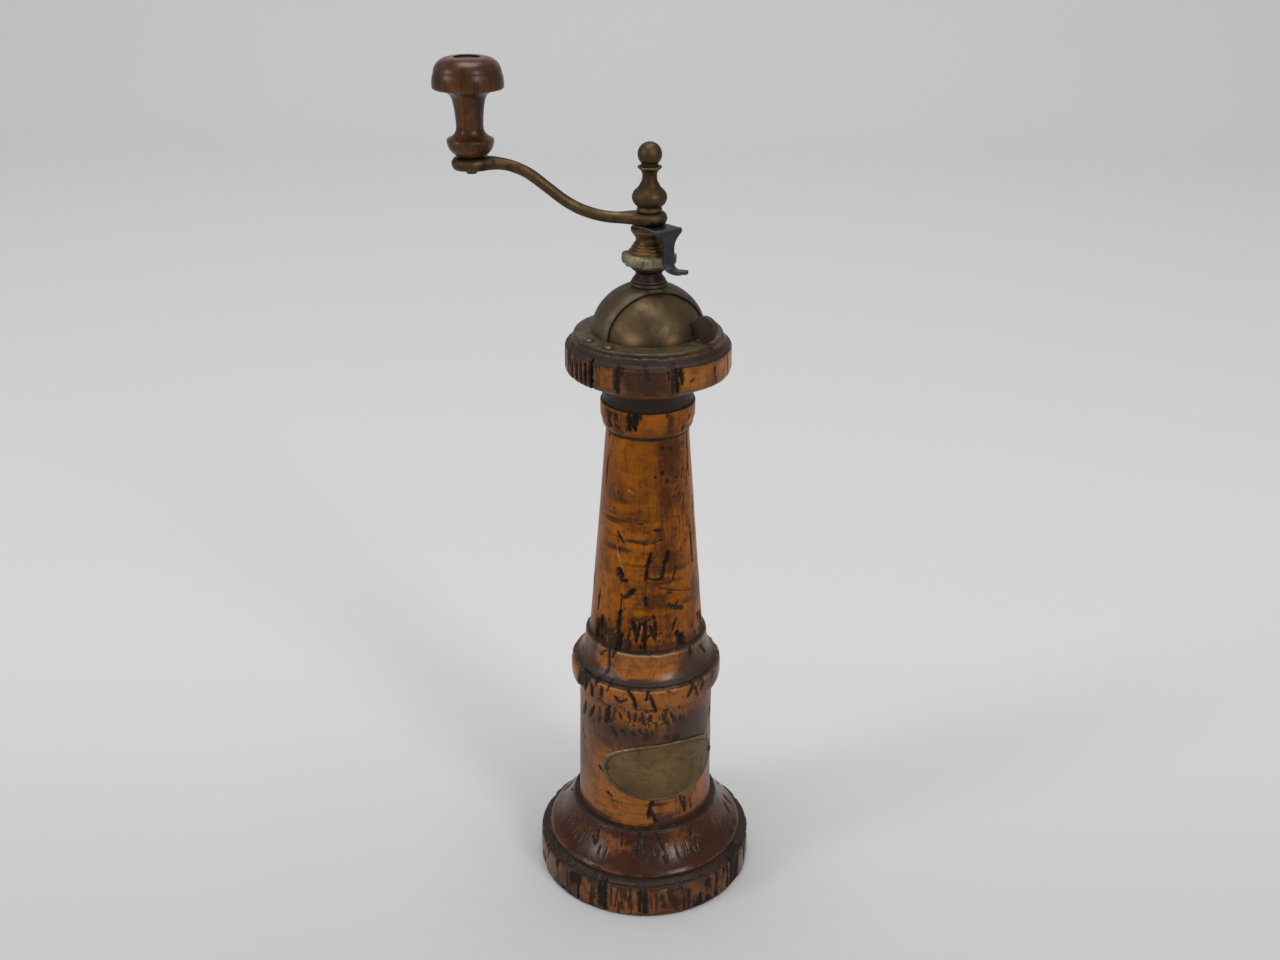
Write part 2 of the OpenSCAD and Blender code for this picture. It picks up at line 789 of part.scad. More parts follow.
module star_nut() {
    color(pale_metal)
        translate([0, 0, star_z])
            difference() {
                rotate_extrude($fn = turned)
                    polygon([[0, 0], [star_r - 1, 0], [star_r, 1.1], [star_r, star_h - 1.1],
                             [star_r - 1, star_h], [0, star_h]]);
                for (i = [0 : star_lobes - 1])
                    rotate([0, 0, latch_az + 180 / star_lobes + 360 * i / star_lobes])
                        translate([star_r + 1.2, 0, -over])
                            cylinder(r = star_r - star_core_r + 1.1, h = star_h + 2 * over, $fn = 24);
                translate([0, 0, -over])
                    cylinder(r = spindle_r + run_gap, h = star_h + 2 * over, $fn = small);
            }
}

spool_outline = concat(
    [[0, spool_z], [spool_r, spool_z], [spool_r, spool_z + 1.1], [spool_r - 0.7, spool_z + 1.6]],
    [[spool_r - 0.8, spool_z + 2.5], [spool_r - 1.5, spool_z + 2.9], [spool_r - 1.6, spool_z + 3.7]],
    bow([spool_r - 2.2, spool_z + 4], [spool_r - 1.9, latch_z - 3.2], -0.5, 6),
    [[spool_r - 1.6, latch_z - 3], [spool_r - 0.6, latch_z - 1.6]],
    [[spool_r - 0.5, latch_z - 0.6], [spool_r - 0.8, latch_z], [0, latch_z]]);

module crank_spool() {
    color(bronze)
        difference() {
            turned_solid(spool_outline);
            cylinder(r = spindle_r + seat_gap, h = 2 * latch_z, $fn = small);
        }
}

// Latch: a plate clamped under the arm, and a leaf that hangs from its fold beside the star nut

leaf_gap = 0.35;
leaf_r = star_r + leaf_gap;
fold_gap = 0.15;
plate_out = leaf_r - fold_gap;
plate_eye_r = 6.6;
leaf_low_z = star_z + 0.6;
leaf_top_z = latch_z + latch_t;
leaf_shoulder_z = latch_z - 0.6;

function plate_shape() = concat(
    [[plate_out, -latch_w / 2], [plate_out, latch_w / 2]],
    bend([0, 0], plate_eye_r, plate_eye_r, 62, 298, 24));

module latch_plate() {
    color(blued)
        rotate([0, 0, latch_az])
            translate([0, 0, latch_z])
                difference() {
                    linear_extrude(height = latch_t)
                        polygon(plate_shape());
                    rotate([0, 0, -latch_az])
                        translate([-square_w / 2 - seat_gap, -square_w / 2 - seat_gap, -over])
                            cube([square_w + 2 * seat_gap, square_w + 2 * seat_gap, latch_t + 2 * over]);
                }
}

// Half width of the leaf at height z: wide at the fold, drawn in by a curve, narrow below
function leaf_half(z) =
    let (t = min(1, max(0, (leaf_shoulder_z - z) / 6)), s = pow(1 - t, 2.2))
    leaf_w / 2 + (latch_w - leaf_w) / 2 * s;

leaf_steps = 10;
leaf_side = [for (i = [0 : leaf_steps])
    let (z = leaf_shoulder_z - 6.5 * i / leaf_steps) [leaf_half(z), z]];

leaf_front = concat(
    [[latch_w / 2, leaf_top_z]],
    leaf_side,
    [[leaf_w / 2 - 0.2, leaf_low_z - 9], [-leaf_w / 2 + 0.2, leaf_low_z - 9]],
    [for (i = [leaf_steps : -1 : 0]) [-leaf_side[i][0], leaf_side[i][1]]],
    [[-latch_w / 2, leaf_top_z]]);

curl_r = 3.6;
finger_r = leaf_w / 2;
finger_out = leaf_r + finger_l;

// The leaf's strip seen from its edge: down from the fold, round the curl, and out to the finger tip
leaf_edge = concat(
    [[leaf_r, leaf_top_z], [leaf_r, leaf_low_z + curl_r - 1]],
    bend([leaf_r + curl_r, leaf_low_z + curl_r - 1], curl_r, curl_r, 180, 262, 8),
    bow([leaf_r + curl_r + 0.4, leaf_low_z - 1], [finger_out, leaf_low_z + 0.1], 0.5, 6),
    [[finger_out, leaf_low_z + 0.1], [finger_out, leaf_low_z + latch_t + 0.1]],
    [[leaf_r + curl_r + 0.6, leaf_low_z + latch_t - 1]],
    bend([leaf_r + curl_r, leaf_low_z + curl_r - 1], curl_r - latch_t, curl_r - latch_t, 264, 180, 8),
    [[leaf_r + latch_t, leaf_top_z - 0.5], [leaf_r + latch_t - 0.5, leaf_top_z]]);

finger_shape = concat(
    [[leaf_r + latch_t, -finger_r + 0.2], [leaf_r + latch_t, finger_r - 0.2]],
    bend([finger_out - finger_r, 0], finger_r, finger_r - 0.2, 90, -90, 12));

module latch_leaf() {
    color(blued)
        rotate([0, 0, latch_az])
            intersection() {
                rotate([90, 0, 0])
                    translate([0, 0, -latch_w])
                        linear_extrude(height = 2 * latch_w)
                            polygon(leaf_edge);
                union() {
                    rotate([90, 0, 90])
                        linear_extrude(height = leaf_r + curl_r)
                            polygon(leaf_front);
                    translate([0, 0, leaf_low_z - 2 * curl_r])
                        linear_extrude(height = 4 * curl_r)
                            polygon(finger_shape);
                }
            }
}

// Crank arm: one forging, flat round eyes at its ends and a round rod with two bends between them

top_arm_z = arm_z + crank_rise;
bend_low_rise = arm_low_bend * (1 - cos(arm_slope));
bend_low_run = arm_low_bend * sin(arm_slope);
bend_top_rise = arm_top_bend * (1 - cos(arm_slope));
bend_top_run = arm_top_bend * sin(arm_slope);
straight_rise = crank_rise - bend_low_rise - bend_top_rise;
straight_run = straight_rise / tan(arm_slope);
bend_end_x = crank_reach - 7.8;
bend_start_x = bend_end_x - bend_top_run - straight_run - bend_low_run;
bend_low_l = arm_low_bend * arm_slope * PI / 180;
bend_top_l = arm_top_bend * arm_slope * PI / 180;
straight_l = norm([straight_run, straight_rise]);
arm_l = bend_start_x + bend_low_l + straight_l + bend_top_l + crank_reach - bend_end_x;

// Place on the arm's centre line after a run s from the spindle: distance out, height and slope
function arm_at(s) =
    let (a = s - bend_start_x, b = a - bend_low_l, c = b - straight_l, d = c - bend_top_l)
    a < 0 ? [s, arm_z, 0] :
    b < 0 ? let (t = arm_slope * a / bend_low_l)
        [bend_start_x + arm_low_bend * sin(t), arm_z + arm_low_bend * (1 - cos(t)), t] :
    c < 0 ? [bend_start_x + bend_low_run + b * cos(arm_slope),
             arm_z + bend_low_rise + b * sin(arm_slope), arm_slope] :
    d < 0 ? let (t = -arm_slope * d / bend_top_l)
        [bend_end_x - arm_top_bend * sin(t), top_arm_z - arm_top_bend * (1 - cos(t)), t] :
    [bend_end_x + d, top_arm_z, 0];

// Half width and half thickness of the arm at a run s past the centre of an eye of radius r
spread_l = 15;
eye_edge = eye_t / 2;

function section(s, r) =
    let (t = max(0, 1 - max(0, s) / spread_l), soft = t * t * (3 - 2 * t),
         rim = max(0, abs(s) - r + eye_edge) / eye_edge)
    s < 0 ? [sqrt(r * r - s * s), eye_edge * sqrt(1 - rim * rim)] :
    [max(s < r ? sqrt(r * r - s * s) : 0, arm_d / 2 + (0.8 * r - arm_d / 2) * soft),
     arm_d / 2 + (eye_edge - arm_d / 2) * min(1, 2 * soft)];

arm_rings = 34;
end_rings = 7;
arm_sides = 16;

// Runs along the arm: closely spaced round each eye's end, evenly between the eyes
arm_runs = concat(
    [for (k = [0 : end_rings - 1]) -eye_r * cos(9 + 81 * k / end_rings)],
    [for (i = [0 : arm_rings]) arm_l * i / arm_rings],
    [for (k = [end_rings - 1 : -1 : 0]) arm_l + knob_eye_r * cos(9 + 81 * k / end_rings)]);

// One ring of the arm: flat above and below, round at its sides
function arm_ring(s) =
    let (place = arm_at(s), size = s < arm_l / 2 ? section(s, eye_r) : section(arm_l - s, knob_eye_r),
         flat = max(0, size[0] - size[1]))
    [for (j = [0 : arm_sides - 1])
        let (a = 360 * j / arm_sides, up = size[1] * sin(a),
             side = size[1] * cos(a) + flat * sign(round(100 * cos(a))))
        [place[0] - up * sin(place[2]), side, place[1] + up * cos(place[2])]];

arm_points = [for (s = arm_runs) each arm_ring(s)];
arm_last = len(arm_runs) - 1;
arm_faces =
    [for (i = [0 : arm_last - 1]) for (j = [0 : arm_sides - 1])
        let (a = i * arm_sides + j, b = i * arm_sides + (j + 1) % arm_sides)
        each [[a, b, b + arm_sides], [a, b + arm_sides, a + arm_sides]]];
arm_ends =
    [[for (j = [arm_sides - 1 : -1 : 0]) j],
     [for (j = [0 : arm_sides - 1]) arm_last * arm_sides + j]];

module crank_arm() {
    color(old_brass)
        rotate([0, 0, 180])
            difference() {
                polyhedron(points = arm_points, faces = concat(arm_faces, arm_ends));
                translate([-square_w / 2 - seat_gap, -square_w / 2 - seat_gap, arm_z - arm_d])
                    cube([square_w + 2 * seat_gap, square_w + 2 * seat_gap, 2 * arm_d]);
                translate([crank_reach, 0, top_arm_z - arm_d])
                    cylinder(r = pin_r + seat_gap, h = 2 * arm_d, $fn = small);
            }
}

// Finial nut on the spindle's thread

bulb_z = finial_z + 5.6;
lip_z = finial_z + finial_h - 2 * ball_r - 0.5;
ball_z = finial_z + finial_h - ball_r;

finial_outline = concat(
    [[0, finial_z], [4.7, finial_z], [5.1, finial_z + 0.5], [5.1, finial_z + 1.5], [4.6, finial_z + 2]],
    bend([0, bulb_z], finial_r, 4.6, -48, 52, 14),
    bow([3.7, bulb_z + 4.3], [2.9, lip_z - 2], -0.5, 6),
    bow([2.9, lip_z - 2], [4.9, lip_z], -0.4, 4),
    [[4.9, lip_z], [4.9, lip_z + 0.7], [3.5, lip_z + 1.2]],
    bend([0, ball_z], ball_r, ball_r, -46, 90, 18));

module finial() {
    color(old_brass)
        difference() {
            turned_solid(finial_outline);
            translate([0, 0, finial_z - over])
                cylinder(r = thread_r + seat_gap, h = thread_top_z - finial_z + over, $fn = small);
        }
}

// Knob that turns on its pin

knob_z = top_arm_z + eye_t / 2 + face_gap;
cap_z = knob_z + knob_h - 11.6;
pin_head_z = knob_z + knob_h - 2.6;
pin_low_z = top_arm_z - eye_t / 2 - 1.5;

knob_outline = concat(
    [[0, knob_z], [5.2, knob_z]],
    bow([5.6, knob_z + 0.3], [knob_bead_r, knob_z + 5.6], 0.9, 7),
    [[knob_bead_r, knob_z + 5.6], [knob_bead_r + 0.1, knob_z + 6.4], [knob_bead_r - 0.3, knob_z + 7]],
    bow([knob_bead_r - 0.9, knob_z + 7.3], [waist_r, knob_z + 12], -1, 7),
    bow([waist_r, knob_z + 12], [waist_r + 0.6, cap_z - 5.6], -0.1, 5),
    bow([waist_r + 0.6, cap_z - 5.6], [waist_r + 3.6, cap_z - 1.2], -0.8, 6),
    [[waist_r + 4.4, cap_z - 0.8], [cap_r - 1.2, cap_z]],
    bend([cap_r - 0.9, cap_z + 0.9], 0.9, 0.9, -70, 0, 3),
    bow([cap_r, cap_z + 1.6], [cap_r - 0.7, cap_z + 5], 0.2, 4),
    bend([cap_r - 7.2, cap_z + 5], 6.5, 6.6, 4, 86, 9),
    [[0, knob_z + knob_h]]);

module knob() {
    color(dark_wood)
        translate([-crank_reach, 0, 0])
            difference() {
                turned_solid(knob_outline);
                translate([0, 0, knob_z - over])
                    cylinder(r = pin_r + run_gap, h = knob_h + 2 * over, $fn = small);
                translate([0, 0, pin_head_z - face_gap])
                    cylinder(r = pin_recess_r, h = 2 * over + 3, $fn = small);
            }
}

module knob_pin() {
    color(steel)
        translate([-crank_reach, 0, 0])
            difference() {
                union() {
                    translate([0, 0, pin_low_z])
                        cylinder(r = pin_r, h = pin_head_z - pin_low_z + 0.2, $fn = small);
                    translate([0, 0, pin_head_z])
                        cylinder(r1 = pin_recess_r - 0.8, r2 = pin_recess_r - 1.2, h = 1.4, $fn = small);
                }
                translate([-pin_recess_r, -0.4, pin_head_z + 0.7])
                    cube([2 * pin_recess_r, 0.8, 2]);
            }
}

foot();
barrel();
column();
top_disc();
name_plate();
plate_pins();
dome();
dome_screws();
dome_neck();
neck_nut();
door();
thumb_tab();
ring_burr();
burr_screws();
shaft_guide();
burr_spring();
thrust_washer();
cone_burr();
burr_nut();
spindle();
star_nut();
crank_spool();
latch_plate();
latch_leaf();
crank_arm();
finial();
knob();
knob_pin();
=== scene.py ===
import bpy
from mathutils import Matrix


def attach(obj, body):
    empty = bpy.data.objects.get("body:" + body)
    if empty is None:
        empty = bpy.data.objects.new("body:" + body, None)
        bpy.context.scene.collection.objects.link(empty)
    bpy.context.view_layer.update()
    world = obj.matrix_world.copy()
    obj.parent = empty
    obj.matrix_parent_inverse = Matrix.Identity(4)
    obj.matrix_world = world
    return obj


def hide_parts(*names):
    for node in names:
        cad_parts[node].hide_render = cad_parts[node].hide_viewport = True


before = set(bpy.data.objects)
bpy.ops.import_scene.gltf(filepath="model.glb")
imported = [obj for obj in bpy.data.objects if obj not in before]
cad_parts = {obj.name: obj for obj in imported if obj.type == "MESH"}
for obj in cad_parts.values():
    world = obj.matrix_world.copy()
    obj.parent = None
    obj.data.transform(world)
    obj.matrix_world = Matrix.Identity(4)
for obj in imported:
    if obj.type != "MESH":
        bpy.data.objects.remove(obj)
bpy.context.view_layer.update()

import math

import bmesh
import bpy
import numpy as np
from mathutils import Matrix, Vector

# Everything is written in millimetres and goes into the meshes in metres
mm = 0.001

# Camera at the photograph's place and angle
cameraPlace = (-3.116 * mm, -550 * mm, 446.67 * mm)
cameraTilt = 65.567
cameraRoll = 0.329
cameraLens = 39.375

cameraData = bpy.data.cameras.new("camera")
cameraData.lens = cameraLens
cameraData.sensor_width = 36
cameraData.clip_start = 0.01
cameraData.clip_end = 30
camera = bpy.data.objects.new("camera", cameraData)
bpy.context.scene.collection.objects.link(camera)
camera.matrix_world = (
    Matrix.Translation(cameraPlace)
    @ Matrix.Rotation(math.radians(cameraTilt), 4, "X")
    @ Matrix.Rotation(math.radians(cameraRoll), 4, "Z")
)
bpy.context.scene.camera = camera
bpy.context.scene.view_settings.view_transform = "Standard"
print("stage: camera")


# Noise on points, the same on every run

def latticeNoise(points, seed):
    cell = np.floor(points).astype(np.int64)
    part = points - cell
    part = part * part * (3 - 2 * part)
    total = np.zeros(len(points))
    for corner in range(8):
        step = np.array([corner & 1, corner >> 1 & 1, corner >> 2 & 1])
        at = cell + step
        mixed = at[:, 0] * 73856093 ^ at[:, 1] * 19349663 ^ at[:, 2] * 83492791 ^ seed * 40503
        mixed = (mixed ^ mixed >> 13) * 1274126177 & 0xFFFFFFFF
        mixed = (mixed ^ mixed >> 15) * 668265263 & 0xFFFFFFFF
        value = (mixed >> 9 & 0xFFFF) / 65535
        weight = np.prod(np.where(step, part, 1 - part), axis=1)
        total += weight * value
    return total


def layeredNoise(points, scale, seed, layers=4, fade=0.55, stretch=(1, 1, 1)):
    # From 0 to 1 with its mean near 0.5; scale is the largest feature in millimetres
    total, weight, weights = 0, 1, 0
    at = points / (scale * np.array(stretch))
    for layer in range(layers):
        total = total + weight * latticeNoise(at * 2**layer + 17.3 * layer, seed + layer)
        weights += weight
        weight *= fade
    return total / weights


def smooth(low, high, value):
    t = np.clip((value - low) / (high - low), 0, 1)
    return t * t * (3 - 2 * t)


# Turned pieces: an outline goes round the spindle, and its outer skin gets the wear of the real one

def bow(start, end, sag, steps):
    start, end = np.array(start, float), np.array(end, float)
    way = end - start
    side = np.array([way[1], -way[0]]) / np.hypot(*way)
    return [tuple(start + way * t + side * (4 * sag * t * (1 - t))) for t in np.arange(steps) / steps]


def bend(centre, width, height, fromAngle, toAngle, steps):
    angles = np.radians(np.linspace(fromAngle, toAngle, steps + 1))
    return [(centre[0] + width * math.cos(a), centre[1] + height * math.sin(a)) for a in angles]


def evenOutline(points, step, rounding):
    points = np.array(points, float)
    run = np.concatenate([[0], np.cumsum(np.hypot(*np.diff(points, axis=0).T))])
    at = np.linspace(0, run[-1], int(math.ceil(run[-1] / step)) + 1)
    fine = np.stack([np.interp(at, run, points[:, 0]), np.interp(at, run, points[:, 1])], 1)

    def blurred(values, width):
        reach = np.exp(-0.5 * ((at[:, None] - at[None, :]) / width) ** 2)
        return (reach @ values) / reach.sum(1)[:, None]

    ends = np.minimum(at, run[-1] - at)[:, None]
    keep = np.exp(-ends / rounding)
    soft = blurred(fine, rounding) * (1 - keep) + fine * keep
    way = np.gradient(soft, at, axis=0)
    turn = np.gradient(np.unwrap(np.arctan2(way[:, 1], way[:, 0])), at)
    turn = blurred(turn[:, None], 0.45)[:, 0]
    outward = np.stack([way[:, 1], -way[:, 0]], 1)
    outward /= np.hypot(*outward.T)[:, None]
    return soft, outward, turn


def newObject(name, points, faces, material, body, sharp=40):
    mesh = bpy.data.meshes.new(name)
    mesh.from_pydata((np.asarray(points) * mm).tolist(), [], faces)
    mesh.update()
    mesh.polygons.foreach_set("use_smooth", [True] * len(mesh.polygons))
    mesh.set_sharp_from_angle(angle=math.radians(sharp))
    piece = bpy.data.objects.new(name, mesh)
    bpy.context.scene.collection.objects.link(piece)
    mesh.materials.append(material)
    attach(piece, body)
    return piece


def setAttributes(piece, values):
    for name, data in values.items():
        layer = piece.data.attributes.new(name, "FLOAT", "POINT")
        layer.data.foreach_set("value", np.asarray(data, np.float32))


def gridFaces(rings, segments, closed):
    faces = []
    for i in range(rings if closed else rings - 1):
        a, b = i * segments, (i + 1) % rings * segments
        for j in range(segments):
            k = (j + 1) % segments
            faces.append((a + j, a + k, b + k, b + j))
    return faces


def turnedMesh(look, dress=None):
    # look: skin outline, hidden outline before and after it, segments, step, rounding, closed or capped
    soft, outward, turn = evenOutline(look["skin"], look["step"], look["rounding"])
    before = np.array(look.get("before", []), float).reshape(-1, 2)
    after = np.array(look.get("inside", []), float).reshape(-1, 2)
    rings = np.concatenate([before, soft, after])
    first, skinRings, segments = len(before), len(soft), look["segments"]
    angle = 2 * np.pi * np.arange(segments) / segments
    cos, sin, spread = np.cos(angle), np.sin(angle), np.ones(segments)
    points = np.stack([rings[:, :1] * cos, rings[:, :1] * sin, rings[:, 1:2] * spread], 2)
    skin = points[first:first + skinRings].reshape(-1, 3)
    out = np.stack([outward[:, :1] * cos, outward[:, :1] * sin, outward[:, 1:] * spread], 2).reshape(-1, 3)
    wear = (smooth(0.10, 0.55, turn)[:, None] * spread).ravel()
    hollow = (smooth(0.10, 0.55, -turn)[:, None] * spread).ravel()
    values = {"wear": wear, "stain": 0.6 * hollow, "mark": 0 * wear, "tone": 0 * wear, "pale": 0 * wear}
    if dress:
        depth = dress(skin, np.degrees(np.arctan2(skin[:, 1], skin[:, 0])), values)
        run = np.arange(skinRings) * look["step"]
        fade = smooth(0, 0.6, np.minimum(run, run[-1] - run))
        skin = skin + out * (depth * (fade[:, None] * spread).ravel())[:, None]
    points[first:first + skinRings] = skin.reshape(skinRings, segments, 3)
    closed = look.get("closed", True)
    faces = gridFaces(len(rings), segments, closed)
    if not closed:
        faces += [tuple(range(segments))[::-1], tuple((len(rings) - 1) * segments + j for j in range(segments))]
    low, top = np.zeros(first * segments), np.zeros(len(after) * segments)
    values = {key: np.concatenate([low, np.clip(data, -1, 1), top]) for key, data in values.items()}
    return points.reshape(-1, 3), faces, values


def turnedPiece(name, look, material, body, dress=None, centre=(0, 0), nodes=()):
    points, faces, values = turnedMesh(look, dress)
    points = points + np.array([*centre, 0])
    piece = newObject(name, points, faces, material, body)
    setAttributes(piece, values)
    if nodes:
        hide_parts(*nodes)
    return piece


# Strokes are gouges and cracks: azimuth and height of both ends, width and depth; a depth below 0 paints only a pale
# line, and the lit lips beside a gouge are painted highlights
def cutStrokes(points, azimuth, strokes, values, seed):
    radius = np.hypot(points[:, 0], points[:, 1])
    wobble = layeredNoise(points, 1.5, seed, 3) - 0.5
    depth = np.zeros(len(points))
    for azA, zA, azB, zB, width, deep in strokes:
        reach = 2 * width + 0.5
        side = np.radians((azimuth - (azA + azB) / 2 + 180) % 360 - 180) * radius
        up = points[:, 2] - (zA + zB) / 2
        wide = math.radians(azB - azA) / 2 * radius
        near = np.nonzero((np.abs(side) < np.abs(wide) + reach) & (np.abs(up) < abs(zB - zA) / 2 + reach))[0]
        if len(near) == 0:
            continue
        side, up, wide, high = side[near], up[near], wide[near], (zB - zA) / 2
        t = np.clip((side * wide + up * high) / np.maximum(wide**2 + high**2, 1e-9), -1, 1)
        gap = np.hypot(side - t * wide, up - t * high)
        half = width * 0.64 * (0.5 + 0.5 * np.cos(np.pi / 2 * t * 0.97) ** 0.6)
        rough = gap + wobble[near] * width * 1.1
        amount = 1 - smooth(0.3 * half, 1.4 * half, rough)
        if deep < 0:
            values["pale"][near] = np.maximum(values["pale"][near], -deep * amount)
            continue
        halo = 1 - smooth(0.6 * half, 2.6 * half + 0.8, rough)
        # The lit lip beside each gouge is painted pale: a painted highlight on the gouge's edge
        lip = smooth(1.1 * half, 1.5 * half, gap) * (1 - smooth(1.7 * half + 0.2, 2.1 * half + 0.5, gap))
        lit = lip * min(0.34, 0.5 * deep) * smooth(0.02, 0.2, wobble[near])
        depth[near] = np.maximum(depth[near], deep * amount)
        values["mark"][near] = np.maximum(values["mark"][near], amount * min(1, 0.36 + 0.6 * deep))
        values["stain"][near] = np.maximum(values["stain"][near], halo * min(0.5, 0.24 + 0.3 * deep))
        values["pale"][near] = np.maximum(values["pale"][near], lit)
    return depth


def scatterStrokes(rng, count, azimuths, heights, lengths, widths, depths, lean):
    strokes = []
    for _ in range(count):
        az, z = rng.uniform(*azimuths), rng.uniform(*heights)
        length, tilt = rng.uniform(*lengths), math.radians(rng.normal(0, lean))
        rise, side = length * math.cos(tilt), length * math.sin(tilt)
        turnBy = math.degrees(side / 30)
        strokes.append((az, z, az + turnBy, max(heights[0] - 2, z - rise), rng.uniform(*widths), rng.uniform(*depths)))
    return strokes


# Patches lighten (below 0) or darken (above 0) the wood: azimuth, height, reach both ways, amount
def addPatches(points, azimuth, values, patches):
    for az, z, azReach, zReach, amount in patches:
        off = np.abs((azimuth - az + 180) % 360 - 180) / azReach
        up = np.abs(points[:, 2] - z) / zReach
        values["tone"] += amount * np.exp(-(off**2) - up**2)


# Bands are stained nearly black: from height, to height, softness, amount
def addBands(points, values, bands):
    ragged = (layeredNoise(points, 5, 71, 3) - 0.5) * 0.9
    faded = np.clip(0.6 + 0.8 * layeredNoise(points, 3.5, 73, 3), 0, 1.15)
    for low, top, softness, amount in bands:
        z = points[:, 2] + ragged * min(1, softness)
        inside = smooth(low - softness, low + 0.2, z) * (1 - smooth(top - 0.2, top + softness, z))
        values["stain"] = np.maximum(values["stain"], amount * inside * faded)


# Shades darken a whole height softly: middle height, reach, amount
def addShades(points, values, shades):
    for z, reach, amount in shades:
        values["tone"] += amount * np.exp(-(((points[:, 2] - z) / reach) ** 2))


# Ridges are fields of upright fissures, combs are turned streaks: azimuth, height, reach both ways, amount
def addRidges(points, azimuth, values, ridges, seed):
    grain = layeredNoise(points, 2.9, seed, 3, stretch=(1, 1, 5))
    edge = (layeredNoise(points, 5, seed + 2, 3) - 0.5) * 0.9
    depth = np.zeros(len(points))
    for az, z, azReach, zReach, deep in ridges:
        off = np.abs((azimuth - az + 180) % 360 - 180) / azReach
        inside = 1 - smooth(0.7, 1.2, np.maximum(off, np.abs(points[:, 2] - z) / zReach) + edge)
        low = 0.58 - 0.11 * min(deep, 1)
        opened = smooth(low, low + 0.11, grain) * inside
        depth = np.maximum(depth, deep * opened)
        values["mark"] = np.maximum(values["mark"], opened * min(1, 0.4 + 0.6 * deep))
        values["stain"] = np.maximum(values["stain"], min(0.5, 0.08 + 0.4 * deep) * inside)
        values["pale"] = np.maximum(values["pale"], 0.2 * inside * deep * smooth(0.42, 0.34, grain))
    return depth


def addCombs(points, azimuth, values, combs, seed):
    streaks = layeredNoise(points, 2.4, seed, 3, stretch=(8, 8, 1)) - 0.5
    for az, z, azReach, zReach, amount in combs:
        off = np.abs((azimuth - az + 180) % 360 - 180) / azReach
        up = np.abs(points[:, 2] - z) / zReach
        values["tone"] += 2 * amount * streaks * np.exp(-(off**4) - up**4)


# Panels are darker or lighter staves with crisp sides: both azimuths, both heights, amount
def addPanels(points, azimuth, values, panels):
    wander = (layeredNoise(points, 9, 77, 3, stretch=(1, 1, 3)) - 0.5) * 5
    for azLow, azTop, low, top, amount in panels:
        side = smooth(azLow - 0.7, azLow + 0.7, azimuth + wander) * (1 - smooth(azTop - 4, azTop + 4, azimuth + wander))
        values["tone"] += amount * side * smooth(low - 5, low + 5, points[:, 2] + wander) * (1 - smooth(top - 1, top + 1, points[:, 2]))


def woodDress(strokes, patches, bands, shades, ridges, combs, seed, ripple=0.05, panels=()):
    def dress(points, azimuth, values):
        broad = (layeredNoise(points, 16, seed, 3) - 0.5) * 0.4
        grain = (layeredNoise(points, 1.6, seed + 9, 3, stretch=(1, 1, 7)) - 0.5) * 2 * ripple
        chip = values["wear"] * smooth(0.56, 0.74, layeredNoise(points, 5, seed + 5, 3)) * 0.55
        depth = cutStrokes(points, azimuth, strokes, values, seed + 3)
        depth = np.maximum(depth, addRidges(points, azimuth, values, ridges, seed + 21))
        addCombs(points, azimuth, values, combs, seed + 31)
        addPatches(points, azimuth, values, patches)
        addPanels(points, azimuth, values, panels)
        addBands(points, values, bands)
        addShades(points, values, shades)
        values["tone"] += (layeredNoise(points, 22, seed + 7, 3, stretch=(1, 1, 2.2)) - 0.5) * 0.5
        return np.minimum(broad + grain, 0.12) - 0.12 - chip - depth
    return dress


# Materials

def makeNode(tree, kind, values=None, **settings):
    node = tree.nodes.new("ShaderNode" + kind)
    for key, value in settings.items():
        setattr(node, key, value)
    for key, value in (values or {}).items():
        if isinstance(value, bpy.types.NodeSocket):
            tree.links.new(value, node.inputs[key])
        else:
            node.inputs[key].default_value = value
    return node


def objectPlace(tree, stretch=(1, 1, 1)):
    place = makeNode(tree, "TexCoord").outputs["Object"]
    return makeNode(tree, "VectorMath", {0: place, 1: stretch}, operation="MULTIPLY").outputs[0]


def noiseField(tree, place, scale, detail=4, roughness=0.55, warp=0):
    values = {"Vector": place, "Scale": scale, "Detail": detail, "Roughness": roughness, "Distortion": warp}
    return makeNode(tree, "TexNoise", values).outputs[0]


def remap(tree, value, low, high, toLow=0, toHigh=1):
    values = {"Value": value, "From Min": low, "From Max": high, "To Min": toLow, "To Max": toHigh}
    return makeNode(tree, "MapRange", values, interpolation_type="SMOOTHSTEP").outputs[0]


def compute(tree, operation, a, b):
    return makeNode(tree, "Math", {0: a, 1: b}, operation=operation, use_clamp=True).outputs[0]


def mixColours(tree, share, a, b, blend="MIX"):
    node = makeNode(tree, "Mix", data_type="RGBA", blend_type=blend)
    for index, value in ((0, share), (6, a), (7, b)):
        if isinstance(value, bpy.types.NodeSocket):
            tree.links.new(value, node.inputs[index])
        else:
            node.inputs[index].default_value = value if index == 0 else (*value, 1)
    return node.outputs[2]


def painted(tree, name):
    return makeNode(tree, "Attribute", attribute_name=name).outputs["Fac"]


def startMaterial(name):
    material = bpy.data.materials.new(name)
    material.use_nodes = True
    tree = material.node_tree
    tree.nodes.clear()
    shader = makeNode(tree, "BsdfPrincipled")
    output = makeNode(tree, "OutputMaterial")
    tree.links.new(shader.outputs[0], output.inputs[0])
    return material, tree, shader


def finishMaterial(material, tree, shader, colour, roughness, height, strength, distance, **fixed):
    tree.links.new(colour, shader.inputs["Base Color"])
    tree.links.new(roughness, shader.inputs["Roughness"])
    bump = makeNode(tree, "Bump", {"Height": height, "Strength": strength, "Distance": distance})
    tree.links.new(bump.outputs[0], shader.inputs["Normal"])
    for key, value in fixed.items():
        shader.inputs[key.replace("_", " ")].default_value = value
    return material


def addUp(tree, first, *others):
    total = first
    for value, weight in others:
        part = makeNode(tree, "Math", {0: value, 1: -0.5}, operation="ADD").outputs[0]
        part = makeNode(tree, "Math", {0: part, 1: weight}, operation="MULTIPLY").outputs[0]
        total = makeNode(tree, "Math", {0: total, 1: part}, operation="ADD").outputs[0]
    return total


